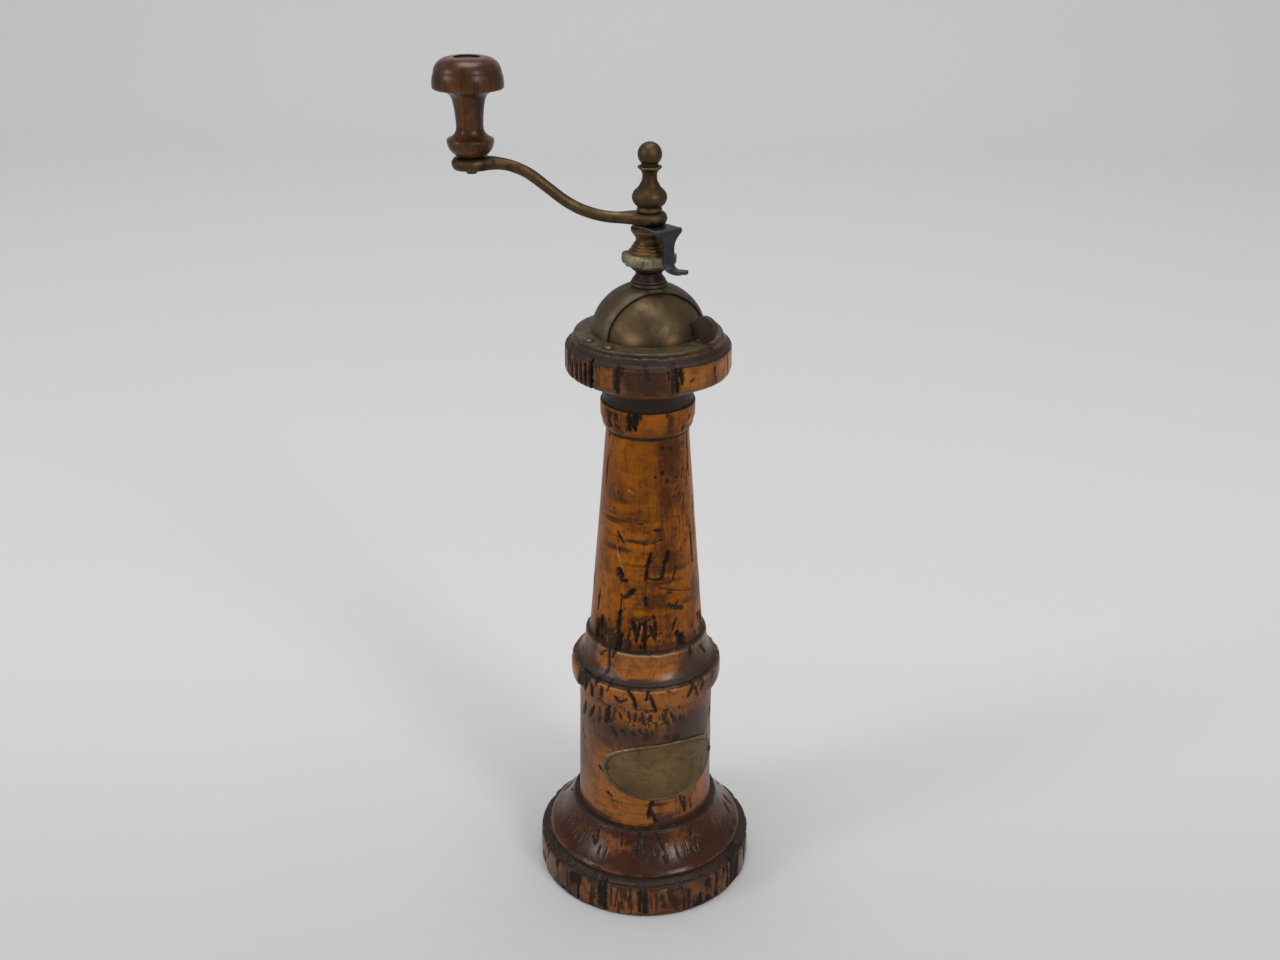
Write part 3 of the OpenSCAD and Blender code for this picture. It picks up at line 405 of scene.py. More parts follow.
def woodMaterial(name, look):
    material, tree, shader = startMaterial(name)
    mottle = noiseField(tree, objectPlace(tree, (1, 1, 0.55)), look["mottle"], 6, 0.62, 0.4)
    cloud = noiseField(tree, objectPlace(tree), look["mottle"] * 0.32, 3, 0.5)
    blotch = noiseField(tree, objectPlace(tree, (1, 1, 0.7)), 240, 5, 0.62, 0.5)
    fibre = noiseField(tree, objectPlace(tree, (1, 1, 0.05)), 950, 5, 0.65)
    turned = noiseField(tree, objectPlace(tree, (0.11, 0.11, 1)), 760, 5, 0.66, 0.5)
    grit = noiseField(tree, objectPlace(tree), 420, 5, 0.7)
    speck = noiseField(tree, objectPlace(tree, (1, 1, 0.35)), 1300, 2, 0.5)
    tone, mark, stain, wear, pale = (painted(tree, key) for key in ("tone", "mark", "stain", "wear", "pale"))

    def ragged(value, low, high, reach):
        share = remap(tree, addUp(tree, value, (grit, reach)), low, high)
        return compute(tree, "MULTIPLY", share, remap(tree, value, 0.02, 0.12))

    shift = makeNode(tree, "Math", {0: tone, 1: 0.4}, operation="MULTIPLY").outputs[0]
    cloudAt = makeNode(tree, "Math", {0: cloud, 1: shift}, operation="ADD").outputs[0]
    warm = mixColours(tree, remap(tree, cloudAt, 0.38, 0.64), look["light"], look["middle"])
    warm = mixColours(tree, remap(tree, blotch, 0.45, 0.66, 0, look["blotch"]), warm, look["dark"])
    dirtAt = makeNode(tree, "Math", {0: mottle, 1: tone}, operation="ADD").outputs[0]
    dirtAt = addUp(tree, dirtAt, (grit, 0.4), (fibre, 0.4))
    colour = mixColours(tree, remap(tree, dirtAt, look["dirtLow"], look["dirtHigh"], 0, 0.84), warm, look["dark"])
    colour = mixColours(tree, remap(tree, fibre, 0.47, 0.68, 0, look["fibre"]), colour, look["dark"])
    streak = compute(tree, "MULTIPLY", remap(tree, turned, 0.50, 0.66), remap(tree, mottle, 0.40, 0.60, 0.2, look["turned"]))
    colour = mixColours(tree, streak, colour, look["dark"])
    colour = mixColours(tree, remap(tree, grit, 0.54, 0.70, 0, look["grit"]), colour, look["black"])
    colour = mixColours(tree, remap(tree, speck, 0.64, 0.76, 0, 0.7), colour, look["black"])
    rub = compute(tree, "MULTIPLY", wear, remap(tree, blotch, 0.60, 0.42, 0, look["rub"]))
    colour = mixColours(tree, rub, colour, look["rubbed"])
    blackened = ragged(stain, 0.24, 0.84, 1.1)
    opened = ragged(mark, 0.14, 0.50, 0.7)
    deepest = ragged(mark, 0.55, 0.95, 0.7)
    colour = mixColours(tree, blackened, colour, look["black"])
    # The bare colour paints pale scratches, and also painted highlights: the lit gouge lips and the line on the
    # collar's rim
    colour = mixColours(tree, ragged(pale, 0.18, 0.7, 0.9), colour, look["bare"])
    colour = mixColours(tree, compute(tree, "MULTIPLY", opened, 0.85), colour, look["gouge"])
    colour = mixColours(tree, deepest, colour, look["hole"])

    rough = remap(tree, mottle, 0.35, 0.7, look["gloss"], look["gloss"] + 0.14)
    dull = compute(tree, "MAXIMUM", opened, compute(tree, "MULTIPLY", blackened, 0.45))
    rough = makeNode(tree, "Math", {0: rough, 1: compute(tree, "MULTIPLY", dull, 0.45)}, operation="ADD").outputs[0]
    height = addUp(tree, mottle, (fibre, 1), (turned, 1), (opened, -1))
    return finishMaterial(material, tree, shader, colour, rough, height, look["relief"], 0.0006,
                          Specular_IOR_Level=look["wax"], Sheen_Weight=look["edge"], Sheen_Roughness=0.22)


def metalMaterial(name, look):
    material, tree, shader = startMaterial(name)
    cloud = noiseField(tree, objectPlace(tree), 38, 4, 0.55)
    patina = noiseField(tree, objectPlace(tree), 240, 6, 0.65, 0.3)
    fine = noiseField(tree, objectPlace(tree), 1400, 3, 0.6)
    brush = noiseField(tree, objectPlace(tree, look["brushed"]), 1500, 3, 0.6)
    stain, wear = painted(tree, "stain"), painted(tree, "wear")
    colour = mixColours(tree, remap(tree, cloud, 0.36, 0.66), look["light"], look["dark"])
    colour = mixColours(tree, remap(tree, patina, 0.48, 0.74, 0, look["dirt"]), colour, look["patina"])
    colour = mixColours(tree, remap(tree, fine, 0.60, 0.78, 0, 0.45 * look["dirt"]), colour, look["patina"])
    # The rubbed colour paints worn edges, and on the door painted highlights
    colour = mixColours(tree, compute(tree, "MULTIPLY", wear, look["rub"]), colour, look["rubbed"])
    colour = mixColours(tree, compute(tree, "MULTIPLY", stain, 0.85), colour, look["patina"])
    rough = remap(tree, patina, 0.35, 0.72, look["gloss"], look["gloss"] + 0.2)
    height = addUp(tree, patina, (brush, 1))
    return finishMaterial(material, tree, shader, colour, rough, height, look["relief"], 0.0003,
                          Metallic=look["metallic"], Specular_IOR_Level=0.5)


bodyWoodLook = {
    "light": (0.350, 0.102, 0.003), "middle": (0.215, 0.060, 0.004), "dark": (0.060, 0.019, 0.005),
    "rubbed": (0.330, 0.125, 0.020), "bare": (0.300, 0.160, 0.070), "black": (0.024, 0.013, 0.008),
    "gouge": (0.026, 0.014, 0.009), "hole": (0.012, 0.008, 0.006),
    "mottle": 75, "dirtLow": 0.46, "dirtHigh": 0.74, "fibre": 0.30, "turned": 0.32, "grit": 0.38, "rub": 0.45,
    "blotch": 0.5, "gloss": 0.28, "wax": 0.11, "edge": 0.12, "relief": 0.2,
}
footWoodLook = {
    **bodyWoodLook,
    "light": (0.200, 0.068, 0.014), "middle": (0.100, 0.032, 0.008), "dark": (0.030, 0.010, 0.006),
    "rubbed": (0.160, 0.070, 0.028), "bare": (0.190, 0.100, 0.055), "gloss": 0.21, "wax": 0.20, "rub": 0.35,
    "relief": 0.06, "blotch": 0.6,
}
barrelWoodLook = {
    **bodyWoodLook,
    "light": (0.305, 0.094, 0.006), "middle": (0.138, 0.042, 0.007), "dark": (0.036, 0.015, 0.008),
    "rubbed": (0.300, 0.115, 0.024), "gloss": 0.33, "wax": 0.32, "relief": 0.06,
}
discWoodLook = {
    **bodyWoodLook,
    "light": (0.370, 0.122, 0.012), "middle": (0.120, 0.038, 0.009), "dark": (0.030, 0.012, 0.007),
    "rubbed": (0.240, 0.095, 0.026), "bare": (0.260, 0.150, 0.080), "wax": 0.2,
}
knobWoodLook = {
    **bodyWoodLook,
    "light": (0.125, 0.041, 0.006), "middle": (0.068, 0.023, 0.005), "dark": (0.022, 0.009, 0.005),
    "rubbed": (0.130, 0.060, 0.026), "mottle": 90, "fibre": 0.75, "turned": 0.25, "grit": 0.35,
    "blotch": 0.5, "gloss": 0.26, "wax": 0.26, "relief": 0.05,
}
domeBrassLook = {
    "light": (0.140, 0.103, 0.064), "dark": (0.092, 0.070, 0.048), "patina": (0.045, 0.034, 0.025),
    "rubbed": (0.42, 0.35, 0.22), "dirt": 0.4, "rub": 0.6, "gloss": 0.50, "relief": 0.08,
    "brushed": (1, 1, 0.05), "metallic": 1.0,
}
# The door's bright warm rubbed colour paints only the two painted highlights of its dress
doorBrassLook = {
    **domeBrassLook,
    "light": (0.112, 0.077, 0.041), "dark": (0.076, 0.053, 0.031), "rubbed": (0.62, 0.39, 0.19),
    "gloss": 0.50, "dirt": 0.25,
}
armBrassLook = {
    **domeBrassLook,
    "light": (0.088, 0.055, 0.024), "dark": (0.058, 0.036, 0.019), "patina": (0.034, 0.022, 0.015),
    "rubbed": (0.20, 0.135, 0.065), "dirt": 0.6, "gloss": 0.48, "relief": 0.14,
}
plateBrassLook = {
    **domeBrassLook,
    "light": (0.215, 0.136, 0.057), "dark": (0.130, 0.082, 0.039), "patina": (0.080, 0.048, 0.026),
    "dirt": 0.65, "gloss": 0.48, "relief": 0.2, "metallic": 0.85,
}
bronzeLook = {
    **domeBrassLook,
    "light": (0.185, 0.100, 0.038), "dark": (0.070, 0.042, 0.026), "patina": (0.026, 0.018, 0.015),
    "rubbed": (0.20, 0.125, 0.06), "dirt": 0.7, "gloss": 0.46, "relief": 0.15,
}
neckLookMetal = {
    **bronzeLook,
    "light": (0.075, 0.052, 0.042), "dark": (0.046, 0.033, 0.029), "rubbed": (0.12, 0.085, 0.06),
}
paleLook = {
    **domeBrassLook,
    "light": (0.205, 0.175, 0.100), "dark": (0.120, 0.100, 0.062), "patina": (0.042, 0.032, 0.022),
    "rubbed": (0.32, 0.29, 0.19), "dirt": 0.9, "gloss": 0.5, "relief": 0.4, "metallic": 0.35,
}
darkTabLook = {
    **domeBrassLook,
    "light": (0.060, 0.036, 0.026), "dark": (0.036, 0.022, 0.017), "patina": (0.014, 0.010, 0.009),
    "rubbed": (0.13, 0.075, 0.050), "dirt": 0.7, "gloss": 0.45, "relief": 0.2, "metallic": 0.6,
}
steelLook = {
    **domeBrassLook,
    "light": (0.36, 0.36, 0.37), "dark": (0.24, 0.24, 0.25), "patina": (0.10, 0.085, 0.07),
    "rubbed": (0.5, 0.5, 0.5), "dirt": 0.6, "gloss": 0.36, "relief": 0.12,
}
bluedLook = {
    **domeBrassLook,
    "light": (0.070, 0.074, 0.085), "dark": (0.040, 0.042, 0.048), "patina": (0.020, 0.018, 0.018),
    "rubbed": (0.24, 0.24, 0.25), "dirt": 0.5, "gloss": 0.38, "relief": 0.10,
}

bodyWood = woodMaterial("body_wood", bodyWoodLook)
footWood = woodMaterial("foot_wood", footWoodLook)
barrelWood = woodMaterial("barrel_wood", barrelWoodLook)
discWood = woodMaterial("disc_wood", discWoodLook)
knobWood = woodMaterial("knob_wood", knobWoodLook)
domeBrass = metalMaterial("dome_brass", domeBrassLook)
doorBrass = metalMaterial("door_brass", doorBrassLook)
armBrass = metalMaterial("arm_brass", armBrassLook)
plateBrass = metalMaterial("plate_brass", plateBrassLook)
bronze = metalMaterial("bronze", bronzeLook)
neckMetal = metalMaterial("neck_metal", neckLookMetal)
paleMetal = metalMaterial("pale_metal", paleLook)
darkTab = metalMaterial("dark_tab", darkTabLook)
steel = metalMaterial("steel", steelLook)
blued = metalMaterial("blued_steel", bluedLook)
print("stage: materials")


# Gouges and cracks of the wood: azimuth and height of both ends, width and depth; below 0 the depth gives a pale line
marks = {
    "foot": (
        (-127.3, 32, -125.6, 27.6, 0.98, 0.65), (-130.3, 28.9, -126.5, 26.6, 0.98, 0.65),
        (-107.5, 33.6, -106.8, 29.1, 1.33, 0.65), (-93.7, 34.5, -95.7, 25.5, 1.33, 0.78),
        (-89.1, 33, -90.5, 28.5, 0.98, 0.65), (-86.3, 28.5, -92.9, 24.2, 0.63, 0.52),
        (-81.4, 34.4, -76.7, 28, 0.98, 0.65), (-77.4, 25.2, -75.4, 23, 0.98, 0.52),
        (-53.8, 32.5, -53.7, 30, 1.33, 0.65), (-51.1, 28.7, -53.7, 24.6, 0.7, 0.52),
        (-47.5, 23.1, -42, 23.1, 0.49, 0.39), (-19.1, 22.8, -19.3, 20.5, 1.68, 1),
        (-9.5, 21.6, -12.3, 19.9, 1.05, 0.91), (-114.6, 15.4, -113.6, 2, 2.4, 1.1),
        (-112, 15.6, -111.8, 1.3, 2.4, 1.1), (-108, 15.2, -107.9, 4.1, 1, 0.5),
        (-104.1, 15, -106.2, 3.4, 1, 0.5), (-97.1, 14.9, -98.6, 3.5, 1.4, 0.5),
        (-92.4, 14.8, -92.3, 2.8, 1.9, 0.8), (-89.7, 14.8, -89.6, 1.7, 1.9, 0.8),
        (-80.3, 11.6, -79.6, 4.6, 2.9, 0.4), (-75.5, 13.2, -75.9, 6.9, 1, 0.5),
        (-74.4, 13, -73.6, 3.5, 1.9, 0.4), (-68.8, 12.8, -68.5, 1.1, 1, 0.6), (-65.3, 11.8, -65.6, 1.4, 1, 0.6),
        (-119.5, 12, -119.8, 0.6, 1, 0.6), (-34.6, 15.4, -35, -0.2, 2.2, 2.2), (-103, 14.5, -101, 3, 0.9, 0.4),
        (-98, 12, -96, 4, 0.8, 0.3), (-87, 13, -86, 5, 0.8, 0.3),
    ),
    "barrel": (
        # The first stroke is no gouge: a pale line along the collar's top inner rim, a painted highlight of that edge
        (-118, 124.6, -62, 124.6, 0.9, -0.75), (-43.2, 127.4, -44.5, 120, 1.8, 0.8), (-119.2, 127.9, -122.9, 121.4, 1.3, 0.6),
        (-130.2, 124.1, -137.4, 120.8, 1.3, 0.4), (-28.6, 122.2, -20.8, 116.9, 1.4, 0.5),
        (-118.6, 112.8, -120.1, 107.9, 0.9, 0.6), (-113.4, 106, -109.4, 104, 1.8, 0.8),
        (-109.4, 104, -104, 106.2, 1.1, 0.7), (-103.4, 110.2, -98.8, 106.6, 1.3, 0.9),
        (-98.8, 106.6, -97.5, 100.8, 1.8, 1), (-88.4, 110.6, -89.9, 105.9, 1.3, 0.9),
        (-87, 109, -81.4, 98, 1.3, 0.9), (-73.4, 110, -71.2, 109.4, 1.1, 0.6),
        (-51.1, 110.6, -56.9, 104.5, 1.8, 0.7), (-51, 110.2, -46.9, 103, 0.9, 0.6),
        (-40.6, 110.5, -44, 105.5, 1.8, 0.6), (-27.2, 110.6, -31, 105.8, 0.9, 0.5),
        (-153.2, 92.3, -157.7, 85.5, 1.8, 0.8), (-140, 94, -145.9, 87, 1.4, 0.7),
        (-123.7, 96.8, -125.7, 89, 2.7, 0.9), (-114, 96.4, -110.3, 92.7, 1.3, 0.6),
        (-105, 97.4, -103.2, 92.4, 1.3, 0.7), (-98.2, 96.9, -99.8, 92.6, 1.3, 0.6),
        (-93.1, 97.1, -92.2, 91.9, 1.3, 0.6), (-86.4, 96.1, -85.5, 92.9, 1.3, 0.6),
        (-76.2, 96.6, -72.6, 91, 1.3, 0.5), (-69.2, 96.9, -63.5, 90.9, 1.4, 0.4),
        (-55.6, 93.7, -57.6, 89.9, 0.9, 0.4), (-119.6, 87, -115.7, 83.4, 1.8, 0.6),
        (-110.2, 87.4, -107.5, 85.1, 1.1, 0.6), (-101.5, 87.3, -99.7, 84.7, 1.1, 0.5),
        (-94.7, 88.7, -93, 86.1, 1.1, 0.5), (-85.4, 87.1, -83.7, 86, 1.1, 0.5),
        (-160.3, 75.8, -155.2, 72.1, 0.9, 0.6), (-133.5, 64, -129.9, 61, 1.4, 0.6),
        (-124.4, 51.3, -119.3, 49.6, 0.9, 0.6), (-83.2, 49.8, -85.7, 46.6, 1.9, 0.9),
        (-85.7, 46.6, -86.5, 41, 1.9, 1), (-58.7, 50, -55.4, 43.7, 1.4, 0.7),
        (-54.5, 48.5, -53.2, 39.8, 1.4, 0.7), (-47.7, 46.8, -46.3, 40.2, 0.9, 0.5),
        (-81.5, 47.5, -77.2, 48.3, 0.9, 0.4), (-84.5, 45, -80.5, 38, 1.5, 0.8),
    ),
    "column": (
        (-112.4, 235.8, -113.4, 227.5, 2.5, 1.1), (-106, 236.1, -105.5, 228, 2.5, 1.1),
        (-99.8, 236.3, -99.3, 232.7, 1.2, 0.7), (-65.4, 235.5, -67.2, 233.1, 0.8, 0.5),
        (-29.7, 232, -31.9, 229.5, 0.8, 0.5), (-39.3, 228.1, -42.6, 225.2, 1.2, 0.5),
        (-154, 211.5, -153.4, 197.9, 0.8, 0.5), (-151, 223.7, -155.4, 220.4, 0.8, 0.4),
        (-20.8, 215.6, -33.5, 197.2, 0.6, 0.4), (-28.6, 180.3, -26, 163.2, 1.3, 0.6),
        (-37.8, 197.7, -42.4, 184.5, 0.6, 0.3), (-72.1, 219.6, -68, 218.5, 1.2, 0.5),
        (-62.1, 218.7, -56, 217.8, 0.8, 0.4), (-71.3, 208.2, -70, 207.7, 1.3, 0.7),
        (-64.7, 204.7, -63.4, 203.7, 1.3, 0.7), (-81.8, 206.7, -79.2, 206.2, 0.8, 0.5),
        (-99.2, 202.2, -99.2, 201.8, 1, 0.5), (-129.1, 198.6, -128.9, 197.7, 0.8, 0.5),
        (-134.1, 190.8, -133.9, 189.9, 0.8, 0.4), (-100.8, 185.6, -96, 185.3, 1.3, 0.5),
        (-80.8, 182.5, -73.6, 182.3, 1.7, 0.4), (-112.3, 177.3, -86.6, 176.3, 0.7, 0.3),
        (-86.6, 176.3, -72.6, 178.1, 0.7, 0.3), (-127.4, 180.5, -117.2, 176, 1.1, 0.6),
        (-123.1, 170.8, -122, 172.7, 0.9, 0.5), (-85.4, 172.1, -89.8, 164.8, 1.7, 0.8),
        (-89.8, 164.8, -90.8, 160.1, 1.3, 0.8), (-65.5, 172.2, -69.5, 166.4, 1.7, 0.9),
        (-69.5, 166.4, -74.3, 159.7, 1.3, 0.8), (-55.8, 164.7, -60.2, 158.6, 0.9, 0.6),
        (-121.5, 163.2, -118.5, 158.8, 3.2, 1), (-120.2, 158.5, -111.8, 158.8, 1.7, 0.9),
        (-115.7, 150, -102.5, 155.2, 1.7, 0.9), (-91.7, 151.7, -90.5, 148, 1.5, 0.7),
        (-97.4, 162.4, -84.3, 160.6, 0.6, 0.3), (-66.6, 153.1, -61.9, 152.7, 1.1, 0.5),
        (-81, 156.8, -35.9, 150.5, 0.5, 0.3), (-105.2, 141.1, -84.3, 141.1, 0.7, 0.4),
        (-66.9, 147.5, -48.4, 143.3, 2.2, 0.5), (-54.6, 148.5, -57.5, 145.5, 1.1, 0.5),
        (-57.9, 139.8, -63, 134.2, 1.1, 0.6), (-56, 133.8, -57.4, 131.5, 2.2, 0.8), (-52.5, 131.5, -50, 127.5, 2.8, 0.8),
        (-117, 152, -118.5, 144, 0.8, 0.5), (-118.5, 144, -121, 133, 2.0, 1),
        (-104, 139.7, -99.4, 131.4, 1.7, 0.9), (-96.6, 139.1, -100.4, 130.4, 1.3, 0.9),
        (-90.5, 140.7, -93.3, 131.6, 1.7, 0.9), (-86.3, 138.3, -81.2, 131.5, 1.3, 0.8),
        (-82.2, 142.9, -80.2, 132.4, 1.3, 0.8), (-95.3, 130.6, -86.3, 133.5, 1.3, 0.8),
        (-107.1, 136.7, -108.8, 130.8, 1.3, 0.7), (-13.5, 134.9, -6, 125.9, 1.4, 0.7),
        (-47.7, 127.2, -50, 123.4, 0.9, 0.5), (-114.9, 129.4, -118.9, 123, 0.9, 0.5),
        (-109.6, 130.9, -105.9, 122.4, 1.3, 0.3), (-79.2, 127.6, -81.3, 122.9, 2.2, 0.3),
        (-22, 222, -24, 203, 1.3, 0.6), (-16, 192, -18, 172, 0.9, 0.4), (-150, 150, -152, 139, 1, 0.5),
        (-108, 199, -116, 200.5, 0.6, -0.7), (-126, 171, -118, 164, 0.6, -0.8),
        (-123, 168, -115, 161.5, 0.6, -0.7), (-128, 176, -121, 166, 0.6, -0.6),
        (-97, 140, -92, 134, 0.6, -0.7), (-90, 142, -97, 134, 0.6, -0.6), (-92, 160.6, -70, 159.4, 1.1, 0.5),
        (-147, 134, -145, 127, 4, 0.35), (-139, 136.5, -137, 127, 4.2, 0.4), (-131, 133.5, -128, 126, 4, 0.4),
        (-122, 131, -120, 125.5, 3, 0.4),
    ),
    "top_disc": (
        (-110.4, 259.6, -111.4, 249, 2.4, 0.9), (-131.8, 260, -131.8, 247, 1.7, 2.2),
        (-137, 258.6, -137, 247.5, 1.1, 1.6), (-141.6, 258, -142, 247.5, 1.0, 1.3), (-146.6, 257.6, -147, 247.5, 1.1, 1.5),
        (-152.6, 257, -153, 248, 1, 1.2), (-159.6, 256, -160, 248, 1.1, 1.2), (-107.1, 259.8, -107.5, 256.6, 0.8, 0.5),
        (-92.4, 259.6, -90.3, 254.8, 2.7, 0.3), (-77.3, 258.6, -75.9, 254.8, 0.8, 0.5),
        (-71.9, 259.1, -70.2, 249.4, 1.6, 1), (-68.5, 258.9, -66.9, 253, 1.6, 1),
        (-61, 252.8, -58.8, 254.3, 0.8, 0.5), (-40.1, 257.1, -38.3, 250, 0.8, 0.6),
        (-95.6, 259.2, -95.5, 255.5, 0.8, 0.3), (-22, 258.6, -21, 250, 1.2, 0.6),
    ),
}


# Wooden body

footLook = {
    "skin": [(49, 0)] + bend((49, 0.8), 0.8, 0.8, -90, 0, 3) + bend((48.2, 14), 1.6, 1.6, 0, 70, 4)
    + bow((48.2, 15.6), (44.9, 17.4), -0.7, 4) + bend((44.4, 18.9), 0.9, 1.1, -60, 80, 5)
    + bow((44.5, 20.4), (34.1, 34.7), -1.0, 12) + [(34.1, 34.7), (33.6, 35.3), (33.2, 35.6)],
    "inside": [(23.05, 35.6), (23.05, 30.6), (17.45, 30.6), (17.45, 11.5), (24.05, 11.5), (24.05, 9),
               (30, 9), (30, 0)],
    "step": 0.42, "rounding": 0.32, "segments": 720,
}
footBands = [(15.0, 18.1, 0.7, 0.95), (34.8, 36, 0.5, 0.9), (-1, 0.5, 0.5, 0.8), (20.1, 20.7, 0.4, 0.45)]
footShades = [(23.0, 3.4, 0.40), (31, 4, 0.16), (18.8, 0.7, 0.3), (33.6, 1.6, 0.14), (14.6, 0.8, 0.16), (1.0, 1.6, 0.10), (8, 5, -0.12)]
footPatches = [
    (-101, 8, 5, 7, -0.30), (-83, 9, 4, 7, -0.14), (-112, 10, 8, 6, -0.12), (-66, 12, 9, 3, -0.14), (-121, 9, 7, 6, -0.16),
    (-50, 8, 4, 7, -0.10), (-70, 6, 8, 3.4, 0.34), (-148, 8, 16, 8, 0.16), (-28, 8, 10, 8, -0.14),
    (-140, 27, 14, 6, -0.04), (-118, 22, 10, 3, 0.14), (-78, 26, 12, 7, 0.14), (-92, 29, 9, 5, 0.10), (-112, 27, 8, 5, -0.06),
    (-55, 31, 10, 4, -0.18), (-40, 26, 14, 6, 0.16), (-20, 28, 12, 6, -0.02), (-110, 30, 6, 4, -0.10),
    (-127, 31.5, 14, 3.2, -0.15), (-70, 31.5, 9, 3, -0.13), (-30, 31, 10, 3, -0.10), (-96, 24, 9, 3, 0.12),
]

barrelLook = {
    "skin": [(31, 35.6), (30.2, 99.2)] + bow((30.8, 99.8), (33.8, 102.8), 0.8, 5) + [(34, 103.8)]
    + bend((32.8, 109.2), 1.2, 1.5, 0, 75, 4) + [(31.6, 110.6), (31.4, 111.3)]
    + [(31.9, 111.7), (31.0, 112.6), (29.6, 114.6), (28.55, 116.4), (27.85, 118.8), (27.4, 122.2), (27.3, 122.4), (27.3, 124)]
    + bend((26.3, 124.2), 1, 1, 0, 90, 3),
    "inside": [(17.05, 125.2), (17.05, 117.2), (12.5, 117.2), (12.5, 50), (14, 50), (14, 30.6),
               (23, 30.6), (23, 35.6)],
    "step": 0.42, "rounding": 0.3, "segments": 560,
}
barrelBands = [
    (35.6, 36.3, 0.5, 0.95), (98.9, 100.2, 0.6, 0.5), (110.8, 113.3, 0.8, 0.85), (122.1, 122.7, 0.4, 0.35),
    (124.7, 126, 0.4, 0.75),
]
barrelShades = [(113.6, 2.3, 0.6), (82, 7, 0.16), (93.5, 3.2, -0.12), (106, 4, -0.10), (37.5, 1.2, 0.2)]
barrelPatches = [
    (-60, 84, 36, 11, 0.26), (-98, 83, 12, 5, 0.12), (-90, 94, 22, 3.5, -0.20), (-85, 44, 28, 5, -0.12),
    (-68, 38, 12, 3, 0.26), (-140, 64, 24, 22, -0.14), (-34, 84, 16, 12, 0.20), (-36, 50, 15, 14, -0.24), (-150, 88, 20, 7, 0.08),
    (-94, 106, 24, 5, -0.34), (-122, 106, 12, 5, -0.34), (-48, 90, 12, 5, 0.20), (-58, 106, 20, 5, -0.12), (-140, 106, 14, 5, -0.04), (-24, 106, 16, 6, 0.12),
    (-92, 117, 18, 5, -0.36), (-118, 116, 6, 4, 0.20), (-152, 117, 18, 7, 0.30), (-132, 116, 7, 4, -0.16),
    # These two lighter spots low on the collar's cove are painted highlights, where the lamps' reflections fall
    (-111, 115.0, 9, 2.6, -0.36), (-71, 115.0, 9, 2.6, -0.36),
    (-34, 116, 22, 7, 0.30), (-62, 118, 10, 4, -0.10),
]

columnLook = {
    "skin": bow((26.2, 125.2), (25.2, 128.2), -0.2, 4) + [(25.2, 128.2), (17.8, 221)]
    + bow((17.8, 223), (19.5, 226.8), 0.5, 5) + bend((18.5, 229), 1.6, 1.8, -50, 0, 3)
    + bend((19.2, 234.7), 0.9, 0.9, 0, 80, 4) + [(18.9, 235.6)],
    "inside": [(15.4, 235.6), (15.4, 241.6), (12.5, 241.6), (12.5, 117.2), (17, 117.2), (17, 125.2)],
    "step": 0.42, "rounding": 0.3, "segments": 480,
}
columnBands = [(125.2, 126.4, 0.8, 0.9), (222.2, 223.6, 0.8, 0.8), (234.9, 236, 0.4, 0.9), (227.5, 228, 0.3, 0.35)]
columnShades = [(127.5, 1.8, 0.20), (225, 1.6, 0.12)]
columnPatches = [
    (-48, 168, 14, 26, -0.05), (-100, 202, 22, 20, -0.20), (-83, 200, 6, 22, -0.24),
    (-140, 176, 16, 26, 0.04), (-150, 147, 16, 12, -0.16), (-60, 150, 12, 10, -0.14), (-116, 190, 14, 9, 0.02), (-128, 216, 18, 20, -0.22), (-130, 158, 18, 24, -0.22), (-98, 150, 20, 14, -0.16), (-82, 135, 24, 5, -0.10), (-92, 229, 24, 5, -0.24),
    (-104, 182, 16, 7, 0.16), (-80, 172, 16, 8, 0.04), (-128, 133, 16, 5, 0.14),
    (-62, 229, 5, 6, 0.3), (-118, 229, 10, 5, 0.06), (-66, 185, 8, 12, -0.10),
]

discLook = {
    "skin": [(19.3, 235.6)] + bow((19.3, 238.2), (30.3, 247.2), -1.9, 8) + [(30.3, 247.2)]
    + bend((31.7, 250.4), 3, 3, -75, 0, 6) + bend((32.8, 258.5), 1.9, 1.9, 0, 75, 5)
    + [(32.7, 260.5), (32.5, 261.3)] + bend((30.2, 261.4), 1.9, 2, 10, 90, 5),
    "inside": [(20.6, 263.4), (12.5, 244.6), (12.5, 241.6), (15.45, 241.6), (15.45, 235.6)],
    "step": 0.42, "rounding": 0.3, "segments": 560,
}
# The first band paints the disc's underside near the neck nearly black: painted shade under the disc's overhang
discBands = [(235.6, 241.6, 0.8, 1.15), (259.2, 262.1, 0.5, 0.95), (262.3, 264, 0.5, 0.6)]
discShades = [(245, 1.6, -0.3), (248.4, 1.0, 0.2), (259, 1.2, 0.16)]
discPatches = [
    (-56, 254, 22, 7, -0.42), (-82, 255, 13, 6, 0.22), (-104, 254, 8, 6, 0.14), (-91, 255, 10, 7, 0.12), (-150, 254, 20, 8, 0.02),
    (-96, 250, 6, 4, 0.16), (-118, 254, 8, 6, -0.06), (-74, 252, 4, 6, 0.22), (-90, 262, 120, 2, 0.3),
    (-20, 254, 14, 6, -0.26), (-120, 254, 10, 6, 0.14),
]

